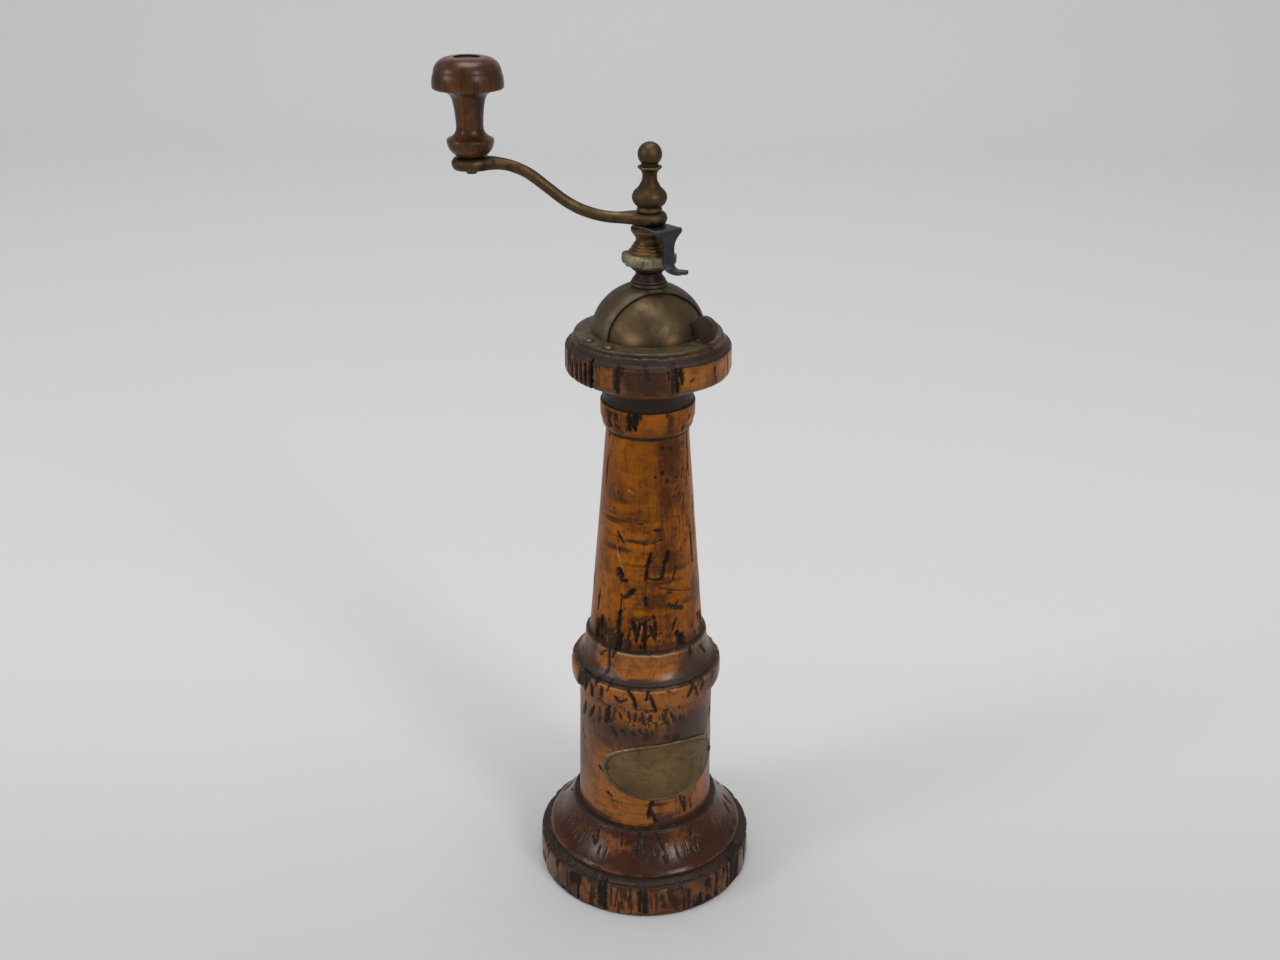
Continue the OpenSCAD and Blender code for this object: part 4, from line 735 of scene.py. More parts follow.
footRidges = [
    (-150, 8, 30, 8.2, 0.9), (-42, 8, 24, 8.2, 0.9), (75, 7.4, 104, 6.8, 0.7), (-96, 8, 34, 8, 0.3),
    (-84, 29, 9, 4, 0.4), (-150, 30, 14, 4, 0.3),
]
footCombs = [(-90, 27, 80, 9, 0.10)]
barrelRidges = [
    (-139, 105, 15, 7.5, 1.0), (-146, 91, 15, 5, 0.5), (-118, 121, 9, 4, 0.8), (-98, 95, 22, 3, 0.5), (-100, 86, 16, 3, 0.4),
    (-62, 94, 14, 3.5, 0.4), (-64, 82, 12, 3, 0.3), (-120, 119, 8, 5, 0.4), (60, 92, 60, 5, 0.5),
]
barrelCombs = [(-100, 43, 46, 7, 0.6), (-110, 112, 50, 12, 0.14), (-100, 80, 60, 10, 0.16)]
columnPanels = [(-77, -26, 192, 222, 0.09), (-74, -30, 168, 192, 0.03)]
columnRidges = [
    (-136, 131.5, 20, 6.5, 1.2), (-121, 129, 8, 5, 1.0), (-97, 133.5, 8, 7, 0.9), (-106, 128, 24, 3.6, 0.6),
    (-48, 129, 10, 3.2, 0.8), (60, 132, 100, 5, 0.6), (-142, 230, 18, 4, 0.3),
]
columnCombs = [(-118, 180, 30, 18, 0.75), (-90, 150, 34, 14, 0.26), (-60, 155, 26, 14, 0.22), (-90, 210, 60, 16, 0.10)]
discRidges = [(-148, 253.6, 16, 7.5, 0.35), (-104, 256, 9, 4, 0.4), (-70, 254, 6, 6, 0.5), (70, 253.6, 60, 7, 0.7)]
discCombs = [(-90, 254, 60, 8, 0.10)]

# The back, which the photograph doesn't show, has strokes of the same kind
chance = np.random.default_rng(41)
footMarks = marks["foot"] + tuple(
    scatterStrokes(chance, 12, (0, 184), (6, 14.6), (6, 13), (0.9, 2.2), (0.5, 1.1), 5)
    + scatterStrokes(chance, 20, (-8, 190), (25, 34), (3, 8), (0.9, 1.8), (0.3, 0.6), 35))
barrelMarks = marks["barrel"] + tuple(
    scatterStrokes(chance, 26, (-8, 190), (103.5, 111), (3, 8), (0.9, 1.8), (0.4, 1.0), 25)
    + scatterStrokes(chance, 34, (-20, 190), (84, 97), (3, 7), (0.9, 1.9), (0.4, 0.9), 22)
    + scatterStrokes(chance, 20, (0, 190), (40, 84), (2, 6), (0.8, 1.4), (0.3, 0.7), 30))
columnMarks = marks["column"] + tuple(
    scatterStrokes(chance, 34, (-8, 190), (126, 220), (2, 7), (0.8, 1.6), (0.3, 0.8), 28)
    + scatterStrokes(chance, 10, (0, 186), (226, 234), (3, 7), (0.9, 1.6), (0.4, 0.8), 12))
discMarks = marks["top_disc"] + tuple(
    scatterStrokes(chance, 40, (-12, 196), (249, 259.5), (5, 11), (0.9, 2.0), (0.5, 1.2), 7))
# Pin holes at the front: under the collar, in the dark stave and at the column's foot
holes = np.random.default_rng(52)
barrelMarks += tuple(scatterStrokes(holes, 48, (-128, -58), (91, 99), (0.8, 2.4), (0.6, 1.1), (0.3, 0.6), 35))
columnMarks += tuple(
    scatterStrokes(holes, 26, (-74, -30), (194, 219), (0.3, 1.0), (0.6, 0.9), (0.2, 0.45), 50)
    + scatterStrokes(holes, 22, (-140, -36), (128, 146), (0.5, 1.6), (0.6, 0.9), (0.2, 0.5), 50))
footMarks += tuple(scatterStrokes(holes, 34, (-160, -20), (25.5, 32.5), (3, 7), (0.35, 0.7), (0.08, 0.22), 8))
footMarks += tuple(scatterStrokes(holes, 16, (-150, -30), (27, 32), (2, 5), (0.3, 0.5), (-0.4, -0.2), 8))

turnedPiece("foot_turned", footLook, footWood, "mill",
            woodDress(footMarks, footPatches, footBands, footShades, footRidges, footCombs, 11, 0.03), nodes=("foot",))
turnedPiece("barrel_turned", barrelLook, barrelWood, "mill",
            woodDress(barrelMarks, barrelPatches, barrelBands, barrelShades, barrelRidges, barrelCombs, 23, 0.04), nodes=("barrel",))
turnedPiece("column_turned", columnLook, bodyWood, "mill",
            woodDress(columnMarks, columnPatches, columnBands, columnShades, columnRidges, columnCombs, 35, 0.05, columnPanels), nodes=("column",))
turnedPiece("disc_turned", discLook, discWood, "mill",
            woodDress(discMarks, discPatches, discBands, discShades, discRidges, discCombs, 47), nodes=("top_disc",))
print("stage: wooden body")


# Small metal pieces

def dents(seed, depth, scale=5, dark=999):
    def dress(points, azimuth, values):
        values["stain"] = np.maximum(values["stain"], 0.7 * smooth(dark, dark + 0.5, points[:, 2]))
        values["stain"] = np.maximum(values["stain"], 0.5 * smooth(0.62, 0.78, layeredNoise(points, 3, seed + 2, 3)))
        values["tone"] += layeredNoise(points, 9, seed + 4, 2) - 0.5
        return (layeredNoise(points, scale, seed, 3) - 0.5) * 2 * depth - depth
    return dress


neckLook = {
    "skin": [(7.5, 284.12), (7.7, 284.62), (7.5, 285.32), (6.9, 285.62), (7.0, 286.12), (6.7, 286.72), (6.2, 286.92)]
    + bow((6.2, 287.32), (6.5, 290.52), -0.9, 6) + [(7.0, 290.72), (7.8, 291.82), (7.8, 292.72)],
    "inside": [(3.05, 292.72), (3.05, 278.22), (4.6, 278.22), (4.6, 284.12)],
    "step": 0.12, "rounding": 0.12, "segments": 160,
}
spoolLook = {
    "skin": [(8, 297.42), (8, 298.52), (7.3, 299.02), (7.2, 299.92), (6.5, 300.32), (6.4, 301.12)]
    + bow((5.8, 301.42), (6.1, 304.62), -0.5, 6) + [(6.4, 304.82), (7.4, 306.22), (7.5, 307.22), (7.2, 307.82)],
    "inside": [(3.05, 307.82), (3.05, 297.42)],
    "step": 0.12, "rounding": 0.12, "segments": 160,
}
finialLook = {
    "before": [(1.85, 326.5), (1.85, 313.92)],
    "skin": [(4.7, 313.92), (5.1, 314.42), (5.1, 315.42), (4.6, 315.92)]
    + bend((0, 319.7), 7.1, 5.1, -52, 47, 13) + bow((4.84, 323.43), (3.7, 325.4), -0.1, 3)
    + bow((3.7, 325.4), (3.05, 327.4), -0.2, 4) + bow((3.05, 327.4), (4.9, 331.22), -0.75, 6) + [(4.9, 331.22), (4.9, 331.92), (3.5, 332.42)]
    + bend((0, 336.6), 4.9, 4.87, -46, 89.6, 24),
    "step": 0.2, "rounding": 0.14, "segments": 160, "closed": False,
}
knobLook = {
    "skin": [(5.2, 335.32)] + bow((5.6, 335.62), (9.3, 340.92), 0.9, 7)
    + [(9.3, 340.92), (9.4, 341.72), (9.0, 342.32)] + bow((8.4, 342.62), (5.4, 347.32), -1, 7)
    + bow((5.4, 347.32), (6.3, 356.12), -0.15, 5) + bow((6.3, 355.8), (9.6, 360.2), -0.9, 6)
    + [(10.2, 360.4), (12.9, 361.0)] + bend((13.25, 361.8), 0.75, 0.8, -70, 0, 3)
    + bow((14, 362.7), (13.4, 366.92), 0.2, 4) + bend((6.8, 366.92), 6.5, 6.1, 4, 86, 9) + [(5.6, 373.0), (5.0, 372.9)],
    "inside": [(4.95, 370.82), (2.15, 370.82), (2.15, 335.32)],
    "step": 0.22, "rounding": 0.22, "segments": 320,
}


# The knob is painted darker at its sides and lighter towards the front: painted shade and painted light, which turn
# with the knob
knobPaintedShading = [
    (-170, 366, 38, 9, 0.26), (-15, 366, 36, 9, 0.22), (-98, 364, 26, 9, -0.22), (-92, 351, 22, 7, -0.24),
    (-160, 351, 32, 9, 0.24), (-22, 351, 30, 9, 0.24), (-150, 339, 30, 4, 0.14), (-88, 339, 22, 4, -0.16),
]


def knobDress(points, azimuth, values):
    values["tone"] += (layeredNoise(points, 12, 63, 3, stretch=(1, 1, 2)) - 0.5) * 0.6
    addPatches(points, azimuth, values, knobPaintedShading)
    addBands(points, values, [(342.0, 342.4, 0.3, 0.3), (360.4, 361.3, 0.4, 0.6), (335, 335.8, 0.3, 0.8)])
    # The rim of the recess on the knob's top is painted as dark as a gouge: painted shade of the recess
    values["mark"] = np.maximum(values["mark"], (points[:, 2] > 372) & (np.hypot(points[:, 0], points[:, 1]) < 5.3))
    pores = cutStrokes(points, azimuth, knobPores, values, 66)
    return (layeredNoise(points, 8, 61, 3) - 0.5) * 0.24 - 0.12 - pores


knobPores = scatterStrokes(chance, 26, (-180, 180), (342, 370), (1, 3.5), (0.25, 0.5), (0.1, 0.25), 12)
turnedPiece("neck_turned", neckLook, neckMetal, "mill", dents(81, 0.05), nodes=("dome_neck",))
turnedPiece("spool_turned", spoolLook, bronze, "crank", dents(83, 0.05, 5, 306.6), nodes=("crank_spool",))
turnedPiece("finial_turned", finialLook, armBrass, "crank", dents(85, 0.06), nodes=("finial",))
turnedPiece("knob_turned", knobLook, knobWood, "grip", knobDress, centre=(-69.8, 0), nodes=("knob",))

# Star nut: a worn disc with eight scallops
starLook = {
    "radius": 11.3, "lobes": 8, "scallopAt": 12.5, "scallop": 2.6, "firstAz": -28.5, "bore": 3.05,
    "rings": [(0, 0.0), (1.2, 0.0), (0.45, 0.35), (0.1, 0.8), (0, 1.6), (0, 2.9), (0.1, 3.7), (0.45, 4.15), (1.2, 4.5),
              (2.6, 4.5), (4.2, 4.5), (5.8, 4.5)],
    "low": 292.82, "segments": 480,
}


def starNut(name, look):
    angle = 2 * np.pi * np.arange(look["segments"]) / look["segments"]
    pitch = 2 * np.pi / look["lobes"]
    off = (angle - math.radians(look["firstAz"]) + pitch / 2) % pitch - pitch / 2
    at, cut = look["scallopAt"], look["scallop"]
    inner = np.abs(at * np.sin(off)) < cut
    dip = at * np.cos(off) - np.sqrt(np.maximum(cut**2 - (at * np.sin(off)) ** 2, 0))
    edge = np.minimum(look["radius"], np.where(inner, dip, look["radius"]))
    kernel = np.exp(-0.5 * (np.arange(-8, 9) / 3) ** 2)
    edge = np.convolve(np.concatenate([edge[-8:], edge, edge[:8]]), kernel / kernel.sum(), "valid")
    rings = [np.stack([look["bore"] * np.cos(angle), look["bore"] * np.sin(angle), 0 * angle + look["low"]], 1)]
    for inset, height in look["rings"][1:] + [(None, 4.5)]:
        radius = look["bore"] + 0 * angle if inset is None else edge - inset
        rings.append(np.stack([radius * np.cos(angle), radius * np.sin(angle), 0 * angle + look["low"] + height], 1))
    points = np.concatenate(rings)
    side = np.hypot(points[:, 0], points[:, 1])
    rough = layeredNoise(points, 2.2, 91, 3) - 0.5
    outward = points * [1, 1, 0] / side[:, None]
    worn = smooth(6, 9.5, side)
    points = points + outward * (rough * 0.7 * worn - 0.22 * worn)[:, None]
    faces = gridFaces(len(rings), look["segments"], True)
    piece = newObject(name, points, faces, paleMetal, "nut", 50)
    stain = smooth(0.5, 0.7, layeredNoise(points, 3.5, 93, 3)) * 0.8
    setAttributes(piece, {"wear": worn * smooth(0.5, 0.65, rough + 0.5), "stain": stain})
    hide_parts("star_nut")


starNut("star_nut_worn", starLook)

# Crank arm: flat eyes at its ends and a round rod with two bends between them
armLook = {
    "reach": 69.8, "rise": 21.3, "low": 311.42, "rod": 4.7, "eye": 5.0, "slope": 38, "lowBend": 39, "topBend": 28,
    "eyeRadius": 7.2, "knobEyeRadius": 7.8, "spread": 15, "rings": 170, "sides": 44,
}


def armPlace(look, s):
    slope = math.radians(look["slope"])
    lowBend, topBend = look["lowBend"], look["topBend"]
    straightRise = look["rise"] - (lowBend + topBend) * (1 - math.cos(slope))
    endX = look["reach"] - 7.8
    startX = endX - (lowBend + topBend) * math.sin(slope) - straightRise / math.tan(slope)
    lowLength, topLength = lowBend * slope, topBend * slope
    straight = math.hypot(straightRise, straightRise / math.tan(slope))
    top = look["low"] + look["rise"]
    a, b = s - startX, s - startX - lowLength
    c, d = b - straight, b - straight - topLength
    if a < 0:
        return s, look["low"], 0
    if b < 0:
        t = slope * a / lowLength
        return startX + lowBend * math.sin(t), look["low"] + lowBend * (1 - math.cos(t)), t
    if c < 0:
        x = startX + lowBend * math.sin(slope) + b * math.cos(slope)
        return x, look["low"] + lowBend * (1 - math.cos(slope)) + b * math.sin(slope), slope
    if d < 0:
        t = -slope * d / topLength
        return endX - topBend * math.sin(t), top - topBend * (1 - math.cos(t)), t
    return endX + d, top, 0


def crankArm(name, look):
    slope = math.radians(look["slope"])
    bends = look["lowBend"] + look["topBend"]
    straightRise = look["rise"] - bends * (1 - math.cos(slope))
    startX = look["reach"] - 7.8 - bends * math.sin(slope) - straightRise / math.tan(slope)
    length = startX + bends * slope + math.hypot(straightRise, straightRise / math.tan(slope)) + 7.8
    ends = np.radians(np.linspace(4, 90, 16))[:-1]
    runs = np.concatenate([-look["eyeRadius"] * np.cos(ends), np.linspace(0, length, look["rings"]),
                           length + look["knobEyeRadius"] * np.cos(ends[::-1])])
    points = []
    turn = 2 * np.pi * np.arange(look["sides"]) / look["sides"]
    for s in runs:
        near = s < length / 2
        radius = look["eyeRadius"] if near else look["knobEyeRadius"]
        along = s if near else length - s
        half = look["eye"] / 2
        if along < 0:
            rim = max(0, abs(along) - radius + half) / half
            wide, thick = math.sqrt(radius**2 - along**2), half * math.sqrt(max(1 - rim**2, 0.0004))
        else:
            t = max(0, 1 - along / look["spread"])
            soft = t * t * (3 - 2 * t)
            rod = look["rod"] / 2
            wide = (math.sqrt(max(radius**2 - along**2, 0)) ** 10 + (rod + (0.8 * radius - rod) * soft) ** 10) ** 0.1
            thick = rod + (half - rod) * min(1, 2 * soft)
        x, z, lean = armPlace(look, s)
        flat = max(0, wide - thick)
        up = thick * np.sin(turn)
        side = thick * np.cos(turn) + flat * np.clip(np.cos(turn) * 6, -1, 1)
        points.append(np.stack([-(x - up * math.sin(lean)), -side, z + up * math.cos(lean)], 1))
    points = np.concatenate(points)
    centre = points.reshape(len(runs), -1, 3).mean(1).repeat(look["sides"], 0)
    outward = points - centre
    outward /= np.maximum(np.linalg.norm(outward, axis=1), 0.2)[:, None]
    points = points + outward * ((layeredNoise(points, 7, 101, 3) - 0.5) * 0.22 - 0.10)[:, None]
    faces = gridFaces(len(runs), look["sides"], False)
    last = (len(runs) - 1) * look["sides"]
    faces += [tuple(range(look["sides"]))[::-1], tuple(last + j for j in range(look["sides"]))]
    piece = newObject(name, points, faces, armBrass, "crank", 60)
    wear = smooth(0.25, 0.9, np.abs(outward[:, 1])) * 0.35 + smooth(0.55, 0.8, layeredNoise(points, 6, 103, 3)) * 0.6
    stain = smooth(0.55, 0.75, layeredNoise(points, 5, 105, 3)) * 0.8
    setAttributes(piece, {"wear": wear, "stain": stain})
    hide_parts("crank_arm")


crankArm("crank_arm_forged", armLook)

# Name plate: a bare oval sheet wrapped round the barrel, with a cut line near its edge
plateLook = {
    "halfWidth": 31.4, "halfHeight": 15.2, "thickness": 0.7, "height": 65.6, "azimuth": -72,
    "lineAt": 0.90, "lineWidth": 0.012, "lineDepth": 0.22, "rings": 90, "segments": 480,
}


def namePlate(name, look):
    shares = np.concatenate([np.linspace(0.012, 0.84, 44), np.linspace(0.85, 0.985, look["rings"] - 44), [0.993, 1.0, 1.0]])
    t = 2 * np.pi * np.arange(look["segments"]) / look["segments"]
    rings, values = [], {"wear": [], "stain": []}
    flatPoints = np.stack([np.outer(shares, np.cos(t)), np.outer(shares, np.sin(t)), 0 * np.outer(shares, t)], 2)
    wave = layeredNoise(flatPoints.reshape(-1, 3) * 20, 9, 111, 3).reshape(len(shares), -1) - 0.5
    scratch = layeredNoise(flatPoints.reshape(-1, 3) * 30, 4, 117, 4, stretch=(1, 0.2, 1)).reshape(len(shares), -1)
    for index, share in enumerate(shares):
        line = math.exp(-(((share - look["lineAt"]) / look["lineWidth"]) ** 2))
        rim = smooth(0.955, 1.0, share)
        back = index == len(shares) - 1
        rise = 0.06 if back else look["thickness"] * (1 - 0.55 * rim) - look["lineDepth"] * line
        lift = 0 if back else wave[index] * 0.16 - 0.05 + wave[index].clip(-0.2, 0.2) * 0.3 * smooth(0.8, 1, share)
        z = look["height"] + look["halfHeight"] * share * np.sin(t)
        barrel = 31 - 0.8 * (z - 35.6) / 63.6
        az = math.radians(look["azimuth"]) + look["halfWidth"] * share * np.cos(t) / 31
        radius = barrel + rise + np.minimum(lift, 0)
        rings.append(np.stack([radius * np.cos(az), radius * np.sin(az), z], 1))
        values["wear"].append(0.8 * smooth(0.95, 0.985, share) * (scratch[index] > 0.47) + 0 * t)
        values["stain"].append(np.clip(0.95 * line + 0.5 * smooth(0.58, 0.75, scratch[index]) + 0.4 * (share > 0.99), 0, 1))
    points = np.concatenate(rings)
    faces = gridFaces(len(rings), look["segments"], False)
    faces = [face[::-1] for face in faces]
    last = (len(rings) - 1) * look["segments"]
    faces += [tuple(range(look["segments"])), tuple(last + j for j in range(look["segments"]))[::-1]]
    piece = newObject(name, points, faces, plateBrass, "mill", 50)
    setAttributes(piece, {key: np.concatenate(data) for key, data in values.items()})
    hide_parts("name_plate")


namePlate("name_plate_bare", plateLook)

# Dome: a shell cut away in front of the window, on its flange, and the door under it
domeLook = {
    "radius": 23.6, "height": 21, "base": 264.3, "sheet": 1.0, "crown": 7.8, "hole": 4.65,
    "flange": 30.8, "flangeLow": 263.4, "flangeTop": 264.7, "window": 9, "azimuth": -69,
    "doorGap": 0.3, "doorSheet": 0.8, "overlap": 1.5, "eye": 8.6, "segments": 360,
}


def domeCurve(look, shrink, fromAngle=0.0, steps=60):
    r, h = look["radius"] - shrink, look["height"] - shrink
    top = math.degrees(math.acos(look["crown"] / r))
    return bend((0, look["base"]), r, h, fromAngle, top, steps)


def sheetShell(look, shrinkOut, shrinkIn, hole, low, step=0.45):
    outer = domeCurve(look, shrinkOut)
    inner = domeCurve(look, shrinkIn)
    skin = [(outer[0][0], low)] + outer + [(hole + 0.02, outer[-1][1])]
    return {"skin": skin, "inside": [(hole, inner[-1][1])] + inner[::-4] + [(inner[0][0], low)],
            "step": step, "rounding": 0.2, "segments": look["segments"]}


def cutPiece(name, parts, material, body, node):
    whole = bmesh.new()
    for points, faces, values, planes in parts:
        part = bmesh.new()
        names = {key: part.verts.layers.float.new(key) for key in values}
        verts = [part.verts.new(point) for point in points * mm]
        for key, layer in names.items():
            for vert, value in zip(verts, values[key]):
                vert[layer] = value
        for face in faces:
            part.faces.new([verts[i] for i in face])
        for place, normal in planes:
            everything = part.verts[:] + part.edges[:] + part.faces[:]
            cut = bmesh.ops.bisect_plane(part, geom=everything, plane_co=Vector(place) * mm,
                                         plane_no=Vector(normal), clear_outer=True, dist=1e-7)
            edges = [item for item in cut["geom_cut"] if isinstance(item, bmesh.types.BMEdge)]
            # The sheet's cut edge is painted dark: painted shadow of the seam's gap between dome and door
            for item in cut["geom_cut"]:
                if isinstance(item, bmesh.types.BMVert):
                    item[names["stain"]] = 1.15
                    item[names["wear"]] = 0
            filled = bmesh.ops.triangle_fill(part, use_beauty=True, edges=edges)
            for item in filled["geom"]:
                if isinstance(item, bmesh.types.BMFace):
                    item.smooth = False
        mesh = bpy.data.meshes.new("part")
        part.to_mesh(mesh)
        part.free()
        whole.from_mesh(mesh)
        bpy.data.meshes.remove(mesh)
    bmesh.ops.recalc_face_normals(whole, faces=whole.faces[:])
    mesh = bpy.data.meshes.new(name)
    whole.to_mesh(mesh)
    whole.free()
    mesh.polygons.foreach_set("use_smooth", [True] * len(mesh.polygons))
    mesh.set_sharp_from_angle(angle=math.radians(38))
    piece = bpy.data.objects.new(name, mesh)
    bpy.context.scene.collection.objects.link(piece)
    mesh.materials.append(material)
    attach(piece, body)
    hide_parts(node)
    return piece


def flangeDress(points, azimuth, values):
    worn = layeredNoise(points, 5, 124, 3)
    values["wear"] = values["wear"] * 0.1 * smooth(0.52, 0.66, worn)
    values["stain"] = 0.45 * smooth(30.0, 30.5, np.hypot(points[:, 0], points[:, 1]))
    values["stain"] = np.maximum(values["stain"], 0.6 * smooth(0.56, 0.70, layeredNoise(points, 4, 126, 3)))
    for az in (-149.5, -125, 95, 30):
        place = 27.9 * np.array([math.cos(math.radians(az)), math.sin(math.radians(az))])
        away = np.hypot(*(points[:, :2] - place).T)
        values["stain"] = np.maximum(values["stain"], 1.1 * (1 - smooth(2.1, 3.3, away + worn - 0.5)))
    return (layeredNoise(points, 7, 123, 3) - 0.5) * 0.08 - 0.04


def domeDress(points, azimuth, values):
    values["wear"] = values["wear"] * 0.3
    chip = np.hypot(*(points - np.array([2.8, -8.6, 283.9])).T[[0, 2]] / np.array([[2.6], [0.9]])) + (points[:, 1] > 0) * 9
    values["wear"] = np.maximum(values["wear"], 1 - smooth(0.5, 1.2, chip))
    values["stain"] = np.maximum(values["stain"], 0.45 * smooth(0.60, 0.78, layeredNoise(points, 6, 122, 4)))
    return (layeredNoise(points, 16, 121, 3) - 0.5) * 0.24 - 0.10


def shellDress(points, azimuth, values):
    facing = math.radians(domeLook["azimuth"])
    away = domeLook["window"] - points[:, 0] * math.cos(facing) - points[:, 1] * math.sin(facing)
    return domeDress(points, azimuth, values) - 0.45 * np.exp(-((away / 1.8) ** 2))


def doorDressAndHighlights(points, azimuth, values):
    depth = domeDress(points, azimuth, values)
    values["wear"] = 0 * values["wear"]
    # Two bright warm spots low on the door's front, at az -107 and -65, are painted highlights: reflections of the side
    # lamps, laid into the door's rubbed colour
    for az, z, azReach, zReach, amount in ((-107, 267.0, 10, 2.4, 1.0), (-65, 266.8, 8, 2.0, 0.55)):
        off = np.abs((azimuth - az + 180) % 360 - 180) / azReach
        values["wear"] += amount * np.exp(-(off**2) - ((points[:, 2] - z) / zReach) ** 2)
    return depth


def domePieces(look):
    facing = math.radians(look["azimuth"])
    toward = np.array([math.cos(facing), math.sin(facing), 0])
    shell = turnedMesh(sheetShell(look, 0, look["sheet"], look["hole"], look["flangeTop"] - 0.5, 0.28), shellDress)
    wide, low, top = look["flange"], look["flangeLow"], look["flangeTop"]
    flangeForm = {
        "skin": [(wide, low), (wide, top - 0.4), (wide - 0.4, top), (look["radius"] - look["sheet"] + 0.02, top)],
        "inside": [(look["radius"] - look["sheet"], low)], "step": 0.2, "rounding": 0.12, "segments": look["segments"],
    }
    flange = turnedMesh(flangeForm, flangeDress)
    cut = [(toward * look["window"], toward)]
    cutPiece("dome_sheet", [(*shell, cut), (*flange, [])], domeBrass, "mill", "dome")
    outer = look["sheet"] + look["doorGap"]
    inner = outer + look["doorSheet"]
    doorForm = sheetShell(look, outer, inner, 4.9, look["flangeLow"] + 0.15)
    door = turnedMesh(doorForm, doorDressAndHighlights)
    keep = [(toward * (look["window"] - look["overlap"]), -toward)]
    cutPiece("door_sheet", [(*door, keep)], doorBrass, "slider", "door")


domePieces(domeLook)


# The CAD's crisp small pieces get soft edges: the same shape with its corners broken
def softened(name, node, width, material, body, sharp=28, trim=0, drop=0):
    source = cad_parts[node]
    work = bmesh.new()
    work.from_mesh(source.data)
    bmesh.ops.remove_doubles(work, verts=work.verts[:], dist=2e-6)
    bmesh.ops.dissolve_limit(work, angle_limit=math.radians(1.5), verts=work.verts[:], edges=work.edges[:])
    corners = [edge for edge in work.edges if edge.is_manifold and edge.calc_face_angle(0) > math.radians(sharp)]
    wear = work.verts.layers.float.new("wear")
    broken = bmesh.ops.bevel(work, geom=corners, offset=width * mm, segments=3, profile=0.5, affect="EDGES", clamp_overlap=True)
    bevelled = set(broken["faces"])
    for vert in broken["verts"]:
        vert[wear] = 0.9 if all(face in bevelled for face in vert.link_faces) else 0
    for vert in work.verts if trim else ():
        side = math.hypot(vert.co.x, vert.co.y)
        if vert.co.x < 0 and side > trim * mm:
            vert.co.x, vert.co.y = vert.co.x * trim * mm / side, vert.co.y * trim * mm / side
    for vert in work.verts if drop else ():
        vert.co.z -= drop * mm * (math.hypot(vert.co.x, vert.co.y) < 22.3 * mm)
    bmesh.ops.triangulate(work, faces=work.faces[:])
    mesh = bpy.data.meshes.new(name)
    work.to_mesh(mesh)
    work.free()
    mesh.polygons.foreach_set("use_smooth", [True] * len(mesh.polygons))
    mesh.set_sharp_from_angle(angle=math.radians(40))
    piece = bpy.data.objects.new(name, mesh)
    bpy.context.scene.collection.objects.link(piece)
    mesh.materials.append(material)
    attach(piece, body)
    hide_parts(node)
    return piece


softened("latch_plate_soft", "latch_plate", 0.34, blued, "crank", trim=6.5)
leaf = softened("latch_leaf_soft", "latch_leaf", 0.16, blued, "leaf")

# The leaf's end is rolled into a small bead
beadLook = {"azimuth": -51, "radius": 0.95, "end": 0.4, "rings": 30, "sides": 24}


def rolledEnd(name, look, sheet):
    facing = math.radians(look["azimuth"])
    forward = np.array([math.cos(facing), math.sin(facing), 0])
    across = np.array([-math.sin(facing), math.cos(facing), 0])
    corners = np.array([vert.co[:] for vert in sheet.data.vertices]) / mm
    corners = corners[corners @ forward > (corners @ forward).max() - look["end"]]
    reach = corners @ across
    middle = corners.mean(0) - forward * 0.5
    half = (reach.max() - reach.min()) / 2 + 0.1
    turn = 2 * np.pi * np.arange(look["sides"]) / look["sides"]
    rings = []
    for s in np.linspace(-1, 1, look["rings"]):
        radius = look["radius"] * max(1 - abs(s) ** 5, 0.01) ** 0.5
        place = middle + across * (s * half)
        rings.append(place + radius * (np.outer(np.cos(turn), forward) + np.outer(np.sin(turn), [0, 0, 1])))
    faces = gridFaces(look["rings"], look["sides"], False)
    last = (look["rings"] - 1) * look["sides"]
    faces += [tuple(range(look["sides"]))[::-1], tuple(last + j for j in range(look["sides"]))]
    newObject(name, np.concatenate(rings), faces, blued, "leaf", 60)


rolledEnd("latch_bead", beadLook, leaf)
softened("thumb_tab_soft", "thumb_tab", 0.25, darkTab, "slider", drop=1.6)
softened("knob_pin_soft", "knob_pin", 0.18, darkTab, "crank")
softened("plate_pins_soft", "plate_pins", 0.12, darkTab, "mill")
softened("dome_screws_soft", "dome_screws", 0.08, domeBrass, "mill")
print("stage: metal pieces")

# The remaining CAD nodes keep their shape and get their finish
finishes = {
    "neck_nut": armBrass, "thrust_washer": armBrass, "ring_burr": steel, "burr_screws": steel, "shaft_guide": steel,
    "burr_spring": steel, "cone_burr": steel, "burr_nut": steel, "spindle": steel,
}
for node, material in finishes.items():
    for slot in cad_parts[node].material_slots:
        slot.material = material


# Floor and backdrop: one pale sheet that curves up behind
stageLook = {"front": -1.6, "back": 1.7, "curve": 1.1, "top": 3.2, "half": 3.0, "steps": 24, "level": 0.59}


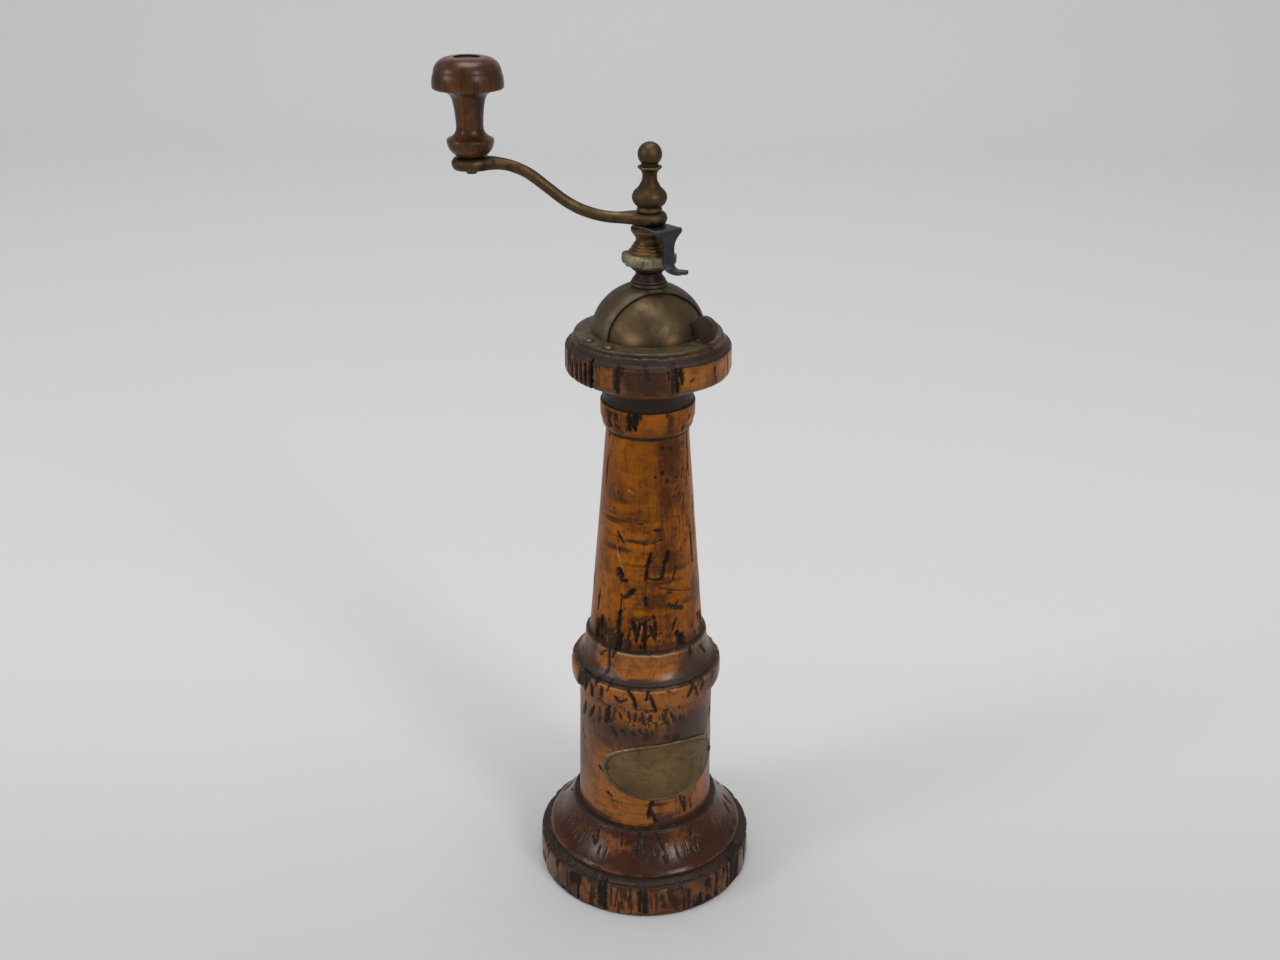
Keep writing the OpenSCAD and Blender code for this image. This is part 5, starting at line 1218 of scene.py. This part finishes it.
def sweep(look):
    edge = [(look["front"], 0), (look["back"], 0)]
    for i in range(1, look["steps"] + 1):
        t = math.pi / 2 * i / look["steps"]
        edge.append((look["back"] + look["curve"] * math.sin(t), look["curve"] * (1 - math.cos(t))))
    edge.append((edge[-1][0], look["top"]))
    points = [(side * look["half"], y, z) for side in (-1, 1) for y, z in edge]
    count = len(edge)
    faces = [(i, i + 1, count + i + 1, count + i)[::-1] for i in range(count - 1)]
    mesh = bpy.data.meshes.new("sweep")
    mesh.from_pydata(points, [], faces)
    mesh.polygons.foreach_set("use_smooth", [True] * len(mesh.polygons))
    floor = bpy.data.objects.new("sweep", mesh)
    bpy.context.scene.collection.objects.link(floor)
    material, tree, shader = startMaterial("pale_sweep")
    parts = makeNode(tree, "SeparateXYZ", {0: objectPlace(tree)}).outputs
    # The floor's grey is painted darker towards the front, a painted shadow near the camera, and a little lighter far
    # back, painted light; the level sets the even grey
    near = remap(tree, parts[1], -0.16, 0.22, 0.75, 0.91)
    paintedFarLight = remap(tree, parts[1], 0.6, 2.0, 0.0, 0.07)
    level = makeNode(tree, "Math", {0: near, 1: paintedFarLight}, operation="ADD").outputs[0]
    level = makeNode(tree, "Math", {0: level, 1: look["level"]}, operation="MULTIPLY").outputs[0]
    tree.links.new(makeNode(tree, "CombineColor", {0: level, 1: level, 2: level}).outputs[0], shader.inputs["Base Color"])
    shader.inputs["Roughness"].default_value = 0.9
    shader.inputs["Specular IOR Level"].default_value = 0.15
    mesh.materials.append(material)


sweep(stageLook)

lamps = [
    # name, place, width, height, watts
    ("key", (1.81, -2.32, 1.8), 0.8, 0.8, 36),
    ("fill", (-2.61, -1.22, 1.5), 0.75, 0.75, 27),
    ("top", (0.0, 0.1, 3.4), 1.9, 1.9, 84),
]
for name, place, width, height, watts in lamps:
    lampData = bpy.data.lights.new(name, "AREA")
    lampData.shape = "RECTANGLE"
    lampData.size, lampData.size_y = width, height
    lampData.energy = watts
    lamp = bpy.data.objects.new(name, lampData)
    lamp.location = place
    lamp.rotation_euler = (Vector((0, 0, 0.18)) - Vector(place)).to_track_quat("-Z", "Y").to_euler()
    bpy.context.scene.collection.objects.link(lamp)

world = bpy.data.worlds.new("studio")
world.use_nodes = True
world.node_tree.nodes["Background"].inputs[0].default_value = (0.50, 0.50, 0.51, 1)
world.node_tree.nodes["Background"].inputs[1].default_value = 0.63
bpy.context.scene.world = world
print("stage: floor and lights")

bpy.context.view_layer.update()
